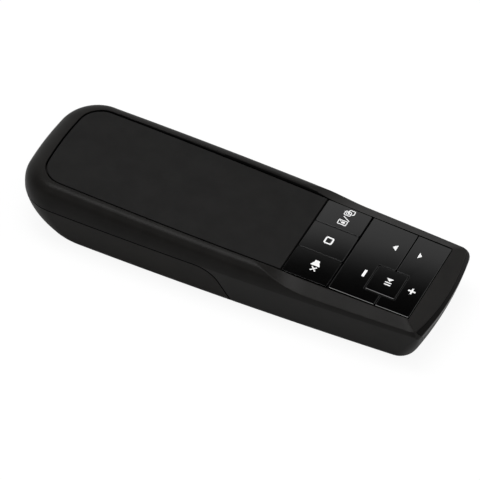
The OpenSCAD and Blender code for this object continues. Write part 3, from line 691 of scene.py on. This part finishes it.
# The strip across the nose: half widths at its top and foot, the rise of its ends, its foot in the
# top's frame, how far its top lies below the rim, and the height at which its back is measured
STRIP_TOP, STRIP_LOW, STRIP_SLOPE, STRIP_FOOT, STRIP_UNDER = 17.3, 15, 3.9 / 2.3, -6.2, 0.25
STRIP_BACK_Z, STRIP_COLS, STRIP_THIN, STRIP_CLEAR = 13.0, 61, 0.05, 0.04
# How much closer together its columns are at the ends
END_CROWD = 0.15


def window_mesh(gap, proud, depth):
    """The glossy strip across the nose, or the room for it."""
    top_half, low_half = STRIP_TOP - gap, STRIP_LOW - gap
    turn = np.sin(np.linspace(-math.pi / 2, math.pi / 2, STRIP_COLS))
    ys = turn * END_CROWD + np.linspace(-1, 1, STRIP_COLS) * (1 - END_CROWD)
    ys = ys / ys.max() * top_half
    front, back = [], []
    for y in ys:
        low_t = STRIP_FOOT + gap + max(0, abs(y) - low_half) * STRIP_SLOPE
        low = on_top([[NOSE_RIM + FIELD_L - 1, y, low_t]])[0, 2]
        high = low + 3
        for _ in range(6):
            x = float(nose_x(np.array(y), np.array(high)))
            x_t = (x - KEY_X) * COS - (high - TOP_H) * SIN
            high_t = (-KEY_DROP - NOSE_STEP - STRIP_UNDER - gap
                      - (x_t - FIELD_L) * slope_of(NOSE_SLOPE))
            high = TOP_H - x_t * SIN + high_t * COS
        high = max(high, low + STRIP_THIN)
        clear = STRIP_CLEAR * (high - low)
        bend = min(max(NOSE_BEND_Z, low + clear), high - clear)
        z = np.r_[np.linspace(low, bend, 6), np.linspace(bend, high, 8)[1:]]
        y_col = np.full_like(z, y)
        x_back = float(nose_x(np.array(y), np.array(STRIP_BACK_Z)))
        front.append(np.c_[nose_x(y_col, z) + proud, y_col, z])
        back.append(np.c_[np.full_like(z, x_back) - depth, y_col, z])
    rings = [np.concatenate([f, b[::-1]]) for f, b in zip(front, back)]
    return tube_mesh(rings)


# The slider's knob hangs on the switch below the board's underside, at the far side's wall
BOARD_UNDER, SWITCH_DROP, SLIDER_TRAVEL = 6.6, 0.9, 2.4
SLIDER_X = KEY_X + 9
SLIDER_Z = top_z(SLIDER_X) - BOARD_UNDER - SWITCH_DROP
SLIDER_WALL = (BODY_W / 2 - (SLIDER_X + WIDEST_BACK) ** 2 / (2 * SIDE_R)
               - SIDE_DRAW * low_share(SLIDER_Z))
# Half lengths, half heights and depths of the knob's recess and of the slot through its floor
RECESS_L, RECESS_H, RECESS_IN, SLOT_L, SLOT_H, SLOT_IN = 3.5, 1.4, 0.8, 1.4, 0.7, 5


def slider_room():
    """The knob's recess and the slot in its floor, each longer at the front by the travel."""
    x, y, z = SLIDER_X, SLIDER_WALL, SLIDER_Z
    return [box_mesh((x - l, y + y0, z - h), (x + l + SLIDER_TRAVEL, y + y1, z + h))
            for l, h, y0, y1 in (
                (RECESS_L, RECESS_H, -RECESS_IN, 3), (SLOT_L, SLOT_H, -SLOT_IN, 0))]


def lathe(profile, turns=40):
    """Rings of a turned solid about Z from (radius, height) pairs."""
    a = np.linspace(0, 2 * math.pi, turns, endpoint=False)
    return tube_mesh([np.c_[r * np.cos(a), r * np.sin(a), np.full(turns, h)] for r, h in profile])


# Screws: their bosses' places, radii and feet; the rear pair stands on the bay's ceiling
SCREWS = (13.1, 12), (-32.25, 13.95)
BOSS_R, BORE_R, BOARD_SEAT, CEILING, INTO_DECK = 2.4, 0.85, 5.5, 13.95, 0.3
# Inward faces of the opening get painted seam shade, a near-black standing in for their shadow, up
# to this height over the top, and so much higher at the front; WALLS_IN says how far a face turns
# inwards, STERN_X where the tail begins
SHADE_UP, SHADE_RISE, WALLS_IN, STERN_X = 0.12, 0.25, 0.35, -50
CUT_ANGLE, DECK_GROW = 28, 0.4


def make_housing():
    band, edge_t = top_band()
    rows = edge_rows(band[0], band[2], level(edge_t, DECK_Z)) + list(band[1:]) + outer_low_rings()
    rows += [base_opening(0), base_opening(WALL)] + inner_low_rings()
    rows += [inner_shoulder_ring(a) for a in ROOM_SHOULDER]
    n = len(rows[0])
    ob = mesh_object("shell", np.concatenate(rows), ring_faces(len(rows), n, True), HOUSING)
    ob.data.materials.append(PAINTED_SEAM_SHADE)
    # Painted shade: the opening's inward wall faces take the near-black seam material in place of
    # their shadow
    for face in ob.data.polygons[:n * (TOP_ROWS + len(ROUND_TURNS) + 1)]:
        c, m = face.center * 1000, face.normal
        shade_top = top_z(c.x) + SHADE_UP + SHADE_RISE * (c.x + PANEL_L - KEY_X) / PANEL_L
        inward = m.y * math.copysign(1, c.y) < -WALLS_IN or (m.x > WALLS_IN and c.x < STERN_X)
        if c.z < shade_top and inward:
            face.material_index = 1
    skin = skin_of(ob)
    pocket = window_mesh(0, POCKET_PROUD, POCKET_DEPTH)
    cut(ob, [parting_cutter(0), pocket, *slider_room()])
    deck_edge = clipped_panel(DECK_GROW, 0)
    deck = tube_mesh([level(deck_edge, z) for z in (DECK_Z, POCKET_Z)])
    extra = [mesh_object("deck", *deck, HOUSING)]
    for x, y in SCREWS:
        z0 = top_z(x) - BOARD_SEAT if x > 0 else CEILING
        z1 = top_z(x) + DECK_Z + INTO_DECK
        v, f = lathe([(BORE_R, z0), (BOSS_R, z0), (BOSS_R, z1), (BORE_R, z1)])
        extra += [mesh_object("boss", v + [x, s * y, 0], f, HOUSING) for s in (-1, 1)]
    join_objects(ob, extra)
    smooth(ob, CUT_ANGLE)
    restore_normals(ob, skin)
    place(ob, "case", "housing_plastic", "housing")


# Grip ridges under the cover's tail: number, first place, spacing, longest half length, radius
GRIPS, GRIP_X, GRIP_PITCH, GRIP_HALF, GRIP_R, GRIP_Z = 6, -44, 2.2, 7.5, 0.75, -0.35
RAIL_Z, RAIL_IN, RAIL_OUT, RAIL_START, RAIL_STOP = 12.45, 16.6, 20.2, BAY_REAR + 4, BAY_FRONT - 1


def make_cover():
    rings = [low_ring(PARTING_Z, 0, 0)] + outer_low_rings()
    rows = rings + inner_low_rings() + [low_ring(PARTING_Z, WALL, WALL)]
    v, n = np.concatenate(rows), len(rings[0])
    outer_n, total = len(rings), len(rows)
    faces = ring_faces(outer_n, n) + ring_faces(total - outer_n, n, start=outer_n * n)
    faces.append(tuple(range((outer_n - 1) * n, outer_n * n)))
    faces.append(tuple(range(outer_n * n, (outer_n + 1) * n)))
    last = (total - 1) * n
    faces += [(k, (k + 1) % n, last + (k + 1) % n, last + k) for k in range(n)]
    ob = mesh_object("cover_shell", v, faces, COVER)
    skin = skin_of(ob)
    # The faces this cut leaves inside the seam get painted seam shade, a near-black standing in
    # for the shadow in the gap
    cut(ob, [parting_cutter(SEEN_GAP)], "INTERSECT", PAINTED_SEAM_SHADE)
    grips = []
    for i in range(GRIPS):
        half = GRIP_HALF - i / 2
        bar_v, bar_f = lathe([(GRIP_R, -half), (GRIP_R, half)], 24)
        grips.append((bar_v[:, [0, 2, 1]] + [GRIP_X - i * GRIP_PITCH, 0, GRIP_Z], bar_f))
    cut(ob, grips)
    join_objects(ob, [mesh_object("rail", *box_mesh(
        (RAIL_START, y0, RAIL_Z), (RAIL_STOP, y1, PARTING_Z - SEEN_GAP)), COVER)
        for y0, y1 in ((-RAIL_OUT, -RAIL_IN), (RAIL_IN, RAIL_OUT))])
    smooth(ob, CUT_ANGLE)
    restore_normals(ob, skin)
    place(ob, "cover", "cover_plastic", "battery_cover")


FILLET_STEPS = 4


def filleted(outline, z0, z1, r):
    """Rings of a plate with a small round along its top edge, in the top's frame."""
    rings = [level(outline, z0)]
    for a in np.radians(np.linspace(0, 90, FILLET_STEPS + 1)):
        rings.append(level(inset(outline, r * (1 - math.cos(a))), z1 - r * (1 - math.sin(a))))
    return rings


def inset(p, d):
    """A closed outline drawn in by d."""
    if d == 0:
        return p.copy()
    before, after = np.roll(p, 1, 0), np.roll(p, -1, 0)
    e1, e2 = unit(p - before), unit(after - p)
    n1, n2 = np.c_[-e1[:, 1], e1[:, 0]], np.c_[-e2[:, 1], e2[:, 0]]
    m = n1 + n2
    m /= (m * n1).sum(1)[:, None]
    area = 0.5 * np.sum(p[:, 0] * after[:, 1] - after[:, 0] * p[:, 1])
    return p + m * d * (1 if area > 0 else -1)


def rounded(corners, radii, steps=6):
    """A polygon with its corners rounded."""
    c = np.asarray(corners, float)
    out = []
    for k in range(len(c)):
        p, q, s = c[k - 1], c[k], c[(k + 1) % len(c)]
        r = radii[k] if hasattr(radii, "__len__") else radii
        u, v = (p - q) / np.linalg.norm(p - q), (s - q) / np.linalg.norm(s - q)
        half = math.acos(np.clip(u @ v, -1, 1)) / 2
        reach = r / math.tan(half)
        centre = q + (u + v) / np.linalg.norm(u + v) * r / math.sin(half)
        a, b = q + u * reach, q + v * reach
        a0, a1 = bearing(centre, a), bearing(centre, b)
        turn = (a1 - a0 + math.pi) % (2 * math.pi) - math.pi
        out += [centre + r * np.array([math.cos(a0 + turn * t), math.sin(a0 + turn * t)])
                for t in np.linspace(0, 1, steps + 1)]
    return np.array(out)


PANEL_GAP, PANEL_FRONT_GAP, PANEL_ROUND = 0.46, 0.22, 0.16
# The strip's pocket, how much smaller the strip is all round, and its own depth
POCKET_PROUD, POCKET_DEPTH, STRIP_GAP, STRIP_DEPTH = 3, 1.9, 0.08, 1.7


def make_panel():
    rings = filleted(clipped_panel(-PANEL_GAP, -PANEL_FRONT_GAP), -PANEL_T, 0, PANEL_ROUND)
    ob = mesh_object("panel_plate", *tube_mesh(rings), PANEL)
    place(ob, "case", "panel_skin", "top_panel")


def make_window():
    ob = mesh_object("nose_strip", *window_mesh(STRIP_GAP, 0, STRIP_DEPTH), WINDOW)
    place(ob, "case", "window_gloss", "end_window")


# ---------- keys ----------
ROW_L, GROUP_GAP = 14.2, 0.65
SPLIT_FAR, SPLIT_NEAR, ROCKER_SPLIT = 6.5, -4.7, 29.15
PLAY_X, PLAY_Y, PLAY_L, PLAY_W = 28.65, -5.55, 9.15, 9.85
# Half the gap between the rockers, the gap at the nose, and the corners' and edges' rounds
ROCKER_GAP, FRONT_GAP, KEY_R, SPLIT_R, KEY_FILLET, MUTE_FILLET = 0.17, 0.16, 0.35, 0.2, 0.13, 0.06
# The near edge's bevel, the gap there, and how wide the band is that the bevel moves
EDGE_BEVEL, NEAR_GAP, NEAR_BAND = 0.24, 0.14, 0.3
# Plungers: radii of stem and collar, where the stem ends under the cap, and each collar's top and
# thickness; the rockers' plungers stand at these Y
STEM_R, COLLAR_R, STEM_TOP = 1.5, 2.1, -1.6
KEY_COLLAR, ROCKER_COLLAR, ROCKER_FAR, ROCKER_NEAR = (-3.6, 0.5), (-3.95, 0.4), 8, -5.4


def field_y(x):
    """Y of the keys' far edge; near_y() is that of their near edge."""
    return KEY_REAR + (KEY_FRONT - KEY_REAR) * x / FIELD_L - KEY_GAP


def near_y(x):
    return NEAR_GAP - field_y(x)


def plunger(at, top, thick):
    v, f = lathe([(COLLAR_R, top - thick), (COLLAR_R, top), (STEM_R, top), (STEM_R, STEM_TOP)], 32)
    return on_top(v + [at[0], at[1], 0]), f


def make_key(name, corners, body, node, plungers, collar=KEY_COLLAR, near_edge=None,
             fillet=KEY_FILLET, radii=KEY_R):
    """A key's cap and plungers; the edge at Y near_edge is bevelled more than the rest."""
    outline = rounded(corners, radii)
    rings = filleted(outline, -KEY_DROP - CAP_T, -KEY_DROP, fillet)
    if near_edge is not None:
        for k, ring in enumerate(rings[1:], 1):
            share = (k - 1) / (len(rings) - 2)
            ring[outline[:, 1] < near_edge + NEAR_BAND, 1] += EDGE_BEVEL * share
    parts = [tube_mesh(rings)]
    parts += [plunger(p, *collar) for p in plungers]
    place(mesh_object(name, *join_mesh(parts), KEYS), body, "key_gloss", node)


def rectangle(x, y, l, w):
    return [(x + i * l / 2, y + j * w / 2) for i, j in ((-1, -1), (1, -1), (1, 1), (-1, 1))]


def row_corners(y0, y1):
    """Corners of a row key between two lines along the clicker: None is the field's own edge."""
    x0, x1 = KEY_GAP, ROW_L
    low = (near_y(x0), near_y(x1)) if y0 is None else (y0, y0)
    high = (field_y(x1), field_y(x0)) if y1 is None else (y1, y1)
    return [(x0, low[0]), (x1, low[1]), (x1, high[0]), (x0, high[1])]


def make_rocker(name, body, node, way, end, gap):
    """A rocker's plate from the split to its end, notched for the play key; way 1 is forward."""
    a, b, c = ROCKER_SPLIT + way * ROCKER_GAP, end - gap, PLAY_X + way * (PLAY_L / 2 + KEY_GAP)
    lo, hi = PLAY_Y - PLAY_W / 2 - KEY_GAP, PLAY_Y + PLAY_W / 2 + KEY_GAP
    corners = [(b, near_y(b)), (a, near_y(a))][::-way]
    corners += [(a, lo), (c, lo), (c, hi), (a, hi), (a, field_y(a)), (b, field_y(b))][::-way]
    x = (PLAY_X + way * PLAY_L / 2 + end) / 2
    make_key(name, corners, body, node, [(x, ROCKER_FAR), (x, ROCKER_NEAR)], ROCKER_COLLAR,
             near_y(min(a, b)), radii=[SPLIT_R if p[0] == a else KEY_R for p in corners])


def make_keys():
    g, mid = KEY_GAP / 2, (KEY_GAP + ROW_L) / 2
    make_key("cap_window", row_corners(SPLIT_FAR + g, None), "window_key", "key_window",
             [(mid, (SPLIT_FAR + KEY_REAR) / 2)])
    make_key("cap_blank", row_corners(SPLIT_NEAR + g, SPLIT_FAR - g), "blank_key", "key_blank",
             [(mid, (SPLIT_FAR + SPLIT_NEAR) / 2)])
    make_key("cap_mute", row_corners(None, SPLIT_NEAR - g), "mute_key", "key_mute",
             [(mid, (SPLIT_NEAR - KEY_REAR) / 2)], fillet=MUTE_FILLET)
    make_rocker("rocker_plate_rear", "rear_rocker", "rocker_rear", -1, ROW_L + GROUP_GAP, 0)
    make_rocker("rocker_plate_front", "front_rocker", "rocker_front", 1, FIELD_L, FRONT_GAP)
    make_key("cap_play", rectangle(PLAY_X, PLAY_Y, PLAY_L, PLAY_W), "play_key", "key_play",
             [(PLAY_X, PLAY_Y)], near_edge=PLAY_Y - PLAY_W / 2)


# ---------- icons ----------
# The ink's upper and lower side; outlines are in the top's frame
INK_Z, INK_FOOT = -KEY_DROP + 0.012, -KEY_DROP - 0.03


def ink_plate(outline):
    return tube_mesh([level(outline, z) for z in (INK_FOOT, INK_Z)])


def patch(corners, radii):
    return ink_plate(rounded(corners, radii, 4))


def frame_band(x0, y0, x1, y1, t, r, lift=0.0):
    """A rounded rectangle drawn with a line of width t, lifted where it lies on another."""
    outer = rounded([(x0, y0), (x1, y0), (x1, y1), (x0, y1)], r)
    inner, top = inset(outer, t), INK_Z + lift
    rings = [level(outer, INK_FOOT), level(outer, top), level(inner, top), level(inner, INK_FOOT)]
    return np.concatenate(rings), ring_faces(4, len(outer), True)


def stroke(a, b, t):
    a, b = np.array(a, float), np.array(b, float)
    u = (b - a) / np.linalg.norm(b - a)
    n = np.array([-u[1], u[0]]) * t / 2
    return ink_plate(rounded([a - n, b - n, b + n, a + n], t * 0.2, 3))


def icon(name, body, parts):
    place(mesh_object(name, *join_mesh(parts), INK), body, "key_gloss")


def bar(x, y, l, w, r=0.12):
    return patch(rectangle(x, y, l, w), r)


def make_icons():
    icon("icon_screens", "window_key", [
        frame_band(6.35, 12.35, 8.5, 14.2, 0.3, 0.45),
        frame_band(7.35, 13.15, 9.4, 14.95, 0.3, 0.45, 0.006),
        frame_band(6.85, 12.9, 7.9, 13.75, 0.2, 0.3, 0.003),
        stroke((6.8, 11.85), (9.15, 10.5), 0.28), frame_band(6.1, 8.4, 9.0, 10.3, 0.28, 0.35),
        bar(7.75, 9.4, 1.1, 0.75), stroke((6.2, 10.4), (7.0, 9.5), 0.24)])
    icon("icon_blank", "blank_key", [frame_band(5.92, -0.32, 8.55, 2.45, 0.5, 0.55)])
    icon("icon_mute", "mute_key", [
        patch([(7.15, -7.45), (7.15, -8.15), (6.4, -9.6), (9.45, -9.6), (8.65, -8.15),
               (8.65, -7.45)], [0.15, 0.1, 0.15] * 2),
        ink_plate(turned(plus_outline(0, 0, 1.12, 0.19), math.pi / 4, (8.05, -10.85)))])
    icon("icon_back", "rear_rocker", [
        patch([(24.35, 7.72), (25.8, 6.55), (25.7, 8.95)], 0.1), bar(21.6, -5.4, 0.8, 2.75)])
    icon("icon_forward", "front_rocker", [
        patch([(33.45, 8.15), (32.3, 9.35), (32.35, 6.98)], 0.1),
        ink_plate(plus_outline(36.4, -5.3, 1.12, 0.26))])
    icon("icon_play", "play_key", [
        patch([(28.0, -3.85), (30.2, -3.85), (29.1, -5.0)], 0.08),
        bar(29.1, -5.5, 1.95, 0.4, 0.08), bar(29.1, -6.35, 1.95, 0.42, 0.08)])


def turned(p, angle, at):
    """An outline turned about the origin and moved there."""
    c, s = math.cos(angle), math.sin(angle)
    return p @ np.array([[c, s], [-s, c]]) + at


def plus_outline(x, y, arm, half):
    c = [(half, -arm), (half, -half), (arm, -half)]
    for _ in range(3):
        c += [(-b, a) for a, b in c[-3:]]
    return rounded([(x + a, y + b) for a, b in c], 0.08, 3)


# ---------- slider ----------
# The knob's face plate: how far it lies inside the wall, half length, half height, thickness.
# Its ribs: spacing, half width, half height, and where they start and end over the plate's back.
# The neck: half length, half height, inner end, and how far it runs into the plate
FACE_IN, FACE_L, FACE_H, FACE_T = 0.7, 2.5, 1.1, 0.6
RIB_PITCH, RIB_L, RIB_H, RIB_START, RIB_END = 0.8, 0.2, 0.95, 0.5, 0.9
NECK_L, NECK_H, NECK_Y, NECK_IN = 1.2, 0.5, 15.25, 0.1


def make_slider():
    face = SLIDER_WALL - FACE_IN
    parts = []
    for name, x, half_l, half_h, y0, y1, edge in [
            ("slider_knob", SLIDER_X, FACE_L, FACE_H, face, face + FACE_T, 0.15),
            *[("rib", SLIDER_X + i * RIB_PITCH, RIB_L, RIB_H,
               face + RIB_START, face + RIB_END, 0.12) for i in range(-2, 3)],
            ("neck", SLIDER_X, NECK_L, NECK_H, NECK_Y, face + NECK_IN, 0)]:
        parts.append(mesh_object(name, *box_mesh((x - half_l, y0, SLIDER_Z - half_h),
                                                 (x + half_l, y1, SLIDER_Z + half_h))))
        if edge:
            bevelled(parts[-1], edge, 3)
    ob = parts[0]
    join_objects(ob, parts[1:])
    ob.data.materials.append(BASE)
    smooth(ob, 40)
    place(ob, "slider", "slider_plastic", "power_slider")


# How near two points are one, in metres, and up to how many degrees an edge is flat
WELD, FLAT = 1e-7, 0.5


def refined(name, node, body, slot, material, width, segments=2):
    """A piece of a node's own shape, with its edges rounded."""
    bm = bmesh.new()
    bm.from_mesh(frame["nodes"][node].data)
    bmesh.ops.remove_doubles(bm, verts=bm.verts, dist=WELD)
    bmesh.ops.dissolve_limit(bm, angle_limit=math.radians(FLAT), verts=bm.verts, edges=bm.edges)
    mesh = bpy.data.meshes.new(name)
    bm.to_mesh(mesh)
    bm.free()
    mesh.materials.clear()
    mesh.materials.append(material)
    ob = new_object(name, mesh)
    if width:
        bevelled(ob, width, segments)
    smooth(ob, EDGE_ANGLE)
    place(ob, body, slot, node)


CELL_D, CELL_L, CELL_Z = 10.5, 44.5, 7.35


def make_cell(name, node, rear, y, way):
    """An AAA cell from its flat end to its nub, which points forward where way is 1."""
    r, turns = CELL_D / 2, 56
    profile = [(3.1, 0.12), (3.4, 0.0), (4.3, 0.0), (4.75, 0.1), (5.0, 0.32), (5.12, 0.45),
               (r, 0.6), (r, 2.4), (r, 33.4), (r, 34.2), (r, 43.0), (5.12, 43.3), (4.7, 43.5),
               (4.2, 43.58), (4.0, 43.5), (2.3, 43.5), (1.95, 43.62), (1.9, 44.2), (1.75, 44.42),
               (1.5, 44.5)]
    # Materials between the profile's points, then of the end faces: 0 jacket, 1 steel, 2 line,
    # 3 dark band, 4 insulating ring
    kinds = [1, 1, 1, 1, 1, 0, 0, 0, 2, 3, 0, 0, 0, 4, 4, 1, 1, 1, 1, 1]
    v, f = lathe(profile, turns)
    v = np.c_[v[:, 2] if way > 0 else CELL_L - v[:, 2], v[:, 1] * way, v[:, 0]] + [rear, y, CELL_Z]
    ob = mesh_object(name, v, f, JACKET, 40)
    for m in (STEEL, JACKET_LINE, JACKET_BAND, CHIP):
        ob.data.materials.append(m)
    for k, face in enumerate(ob.data.polygons):
        face.material_index = kinds[k // turns]
    place(ob, "case", "cell_jacket", node)


make_housing()
make_cover()
make_panel()
make_window()
make_keys()
make_icons()
make_slider()


# ---------- the inside ----------
RUBBER = plastic("mat_silicone", 0.16, 0.2, 0.7, grain=2200)
STEEL = metal("pressed_steel", (0.5, 0.5, 0.49), (0.66, 0.66, 0.64), 0.3)
NICKEL = metal("nickel", (0.55, 0.53, 0.48), (0.72, 0.7, 0.65), 0.28, stretch=(1, 8, 1))
ZINC = metal("screw_zinc", (0.28, 0.28, 0.3), (0.42, 0.42, 0.44), 0.35)
BOARD = plastic("board_mask", 0.02, 0.03, 0.35)
CHIP = plastic("chip_resin", 0.02, 0.028, 0.5)
LENS = plastic("led_lens", 0.7, 0.8, 0.3)
LEAD = plastic("lead_sleeve", 0.06, 0.08, 0.45)
JACKET = plastic("cell_jacket", 0.42, 0.5, 0.28)
JACKET_LINE = plastic("cell_line", 0.75, 0.82, 0.3)
JACKET_BAND = plastic("cell_band", 0.012, 0.03, 0.28)

for node, material in {
        "key_guide": BASE, "keypad_mat": RUBBER, "snap_domes": STEEL, "circuit_board": BOARD,
        "control_chip": CHIP, "radio_chip": CHIP, "crystal": STEEL, "status_led": LENS,
        "switch_body": STEEL, "spring_contact": NICKEL, "plate_contact": NICKEL,
        "bridge_contact": NICKEL, "battery_leads": LEAD}.items():
    materials = frame["nodes"][node].data.materials
    materials.clear()
    materials.append(material)

refined("front_base", "base", "case", "base_plastic", BASE, 0.12)
refined("receiver_shell", "receiver_body", "case", "receiver_plastic", BASE, 0.9, 5)
refined("receiver_tip", "receiver_plug", "case", "plug_shell", STEEL, 0.18, 3)
refined("coil_springs", "cell_springs", "case", "spring_steel", NICKEL, 0)
refined("screws", "housing_screws", "case", "screw_steel", ZINC, 0.08)
make_cell("cell_1", "cell_far", -52.9, 5.6, 1)
make_cell("cell_2", "cell_near", -56.1, -5.6, -1)


# ---------- stage, lights and camera ----------
FLOOR_L, FLOOR_Z, FLOOR_ROUGH, FLOOR_SPEC = 3000, -0.02, 0.9, 0.2
FLOOR_DARK, FLOOR_LIGHT, FLOOR_CLOUDS = 0.5, 0.54, 3
# The floor's own glow, its share of what the camera sees, and of that the share other rays see
GLOW_LEVEL, FLOOR_GLOW, GLOW_IN_ROOM = 1.13, 0.8, 0.25
# The paper's edge as glossy rays see it: shares of white along PAPER_AXIS, by millimetres across
# the keys; PAPER_SPAN of these are the whole ramp
PAPER_AXIS, PAPER_PER_MM, PAPER_SPAN = (-0.15845, 0.73148, -0.66320), 0.00079, 60
PAPER_EDGE = [(-14, 0.0), (-9, 0.015), (-6.5, 0.05), (-4, 0.12), (-2, 0.21), (1, 0.36),
              (3.5, 0.54), (6, 0.72), (8.5, 0.82), (12, 0.84), (20, 1.0)]
ROOM_LIGHT, ROOM_IN_GLOSS = 0.2, 0.02
# The photograph's camera: its place in metres, two of its axes, and its lens and sensor
VIEW_AT = (0.30385366, -0.60319829, 0.71481702)
VIEW_BACK, VIEW_RIGHT = (0.31102354, -0.61593782, 0.72379898), (0.892649404, 0.450751640, 0)
VIEW_LENS, VIEW_SENSOR, CLIP_NEAR, CLIP_FAR = 251.65, 36, 0.05, 20


def seen_directly(tree, path):
    return math_node(tree, "MAXIMUM", path["Is Camera Ray"], path["Is Transmission Ray"])


def floor_material():
    """Pale paper that looks white to the camera and isn't there from below."""
    m, tree, bsdf = new_material("floor_paper")
    bsdf.inputs["Roughness"].default_value = FLOOR_ROUGH
    bsdf.inputs["Specular IOR Level"].default_value = FLOOR_SPEC
    vary(tree, bsdf.inputs["Base Color"], noise(tree, FLOOR_CLOUDS, 2),
         grey(FLOOR_DARK), grey(FLOOR_LIGHT))
    glow = add(tree, "Emission", {"Strength": GLOW_LEVEL})
    path = add(tree, "LightPath").outputs
    seen = seen_directly(tree, path)
    for kind in ("Is Glossy Ray", "Is Diffuse Ray"):
        faint = math_node(tree, "MULTIPLY", path[kind], GLOW_IN_ROOM)
        seen = math_node(tree, "MAXIMUM", seen, faint)
    paper = mixed(tree, math_node(tree, "MULTIPLY", seen, FLOOR_GLOW), bsdf, glow)
    under = add(tree, "NewGeometry").outputs["Backfacing"]
    both = mixed(tree, under, paper, add(tree, "BsdfTransparent"))
    out = next(n for n in tree.nodes if n.type == "OUTPUT_MATERIAL")
    tree.links.new(both.outputs[0], out.inputs["Surface"])
    return m


def make_stage():
    corners = [(x, y, FLOOR_Z) for x, y in rectangle(0, 0, FLOOR_L, FLOOR_L)]
    ob = mesh_object("floor", corners, [(0, 1, 2, 3)], floor_material())


def world():
    """White paper that rises behind the object, and a dark room above and behind the camera."""
    w = bpy.data.worlds.new("studio")
    bpy.context.scene.world = w
    w.use_nodes = True
    tree = w.node_tree
    tree.nodes.clear()
    coord = add(tree, "TexCoord").outputs["Generated"]
    across = add(tree, "VectorMath", {0: coord, 1: PAPER_AXIS}, operation="DOT_PRODUCT")
    on_ramp = math_node(tree, "ADD", math_node(
        tree, "DIVIDE", across.outputs["Value"], PAPER_SPAN * PAPER_PER_MM), 0.5)
    share = ramp(tree, on_ramp, [(0.5 + mm / PAPER_SPAN, grey(v)) for mm, v in PAPER_EDGE])
    path = add(tree, "LightPath").outputs
    glossy = path["Is Glossy Ray"]
    strength = math_node(tree, "MULTIPLY", math_node(tree, "SUBTRACT", 1.0, glossy), ROOM_LIGHT)
    strength = math_node(tree, "MAXIMUM", strength, ROOM_IN_GLOSS)
    room, paper = (add(tree, "Background", {"Color": (1, 1, 1, 1), "Strength": s})
                   for s in (strength, 1.0))
    mirrored = math_node(tree, "MULTIPLY", glossy, share)
    white = math_node(tree, "MAXIMUM", seen_directly(tree, path), mirrored)
    add(tree, "OutputWorld", {"Surface": mixed(tree, white, room, paper).outputs[0]})


def area_light(name, at, aim, width, height, radiance):
    """A softbox of this brightness that faces along aim and that the camera doesn't see."""
    data = bpy.data.lights.new(name, "AREA")
    data.shape = "RECTANGLE"
    data.size, data.size_y = width, height
    data.energy = radiance * math.pi * width * height
    ob = new_object(name, data)
    ob.location = at
    ob.rotation_euler = Vector(aim).to_track_quat("-Z", "Y").to_euler()
    ob.visible_camera = False
    return ob


def camera():
    data = bpy.data.cameras.new("view")
    data.sensor_width, data.lens = VIEW_SENSOR, VIEW_LENS
    data.clip_start, data.clip_end = CLIP_NEAR, CLIP_FAR
    ob = new_object("view", data)
    back, right = Vector(VIEW_BACK).normalized(), Vector(VIEW_RIGHT).normalized()
    m = Matrix((right, back.cross(right), back)).transposed().to_4x4()
    m.translation = Vector(VIEW_AT)
    ob.matrix_world = m
    bpy.context.scene.camera = ob


make_stage()
world()
area_light("overhead", (0.28, -0.12, 0.5), (0, 0, -1), 0.7, 0.7, 0.6).visible_glossy = False
area_light("softbox", (-0.1, 0.0, 0.68), (0.13, -0.01, -0.66), 0.26, 0.54, 7.0)
area_light("near_wall", (0.1, -0.9, 0.75), (-0.1, 0.9, -0.74), 1.8, 0.6, 0.6)
area_light("right_wall", (0.38, 0.46, 0.48), (-0.38, -0.46, -0.46), 0.5, 0.42, 1.2)
camera()
bpy.context.scene.view_settings.view_transform = "Standard"
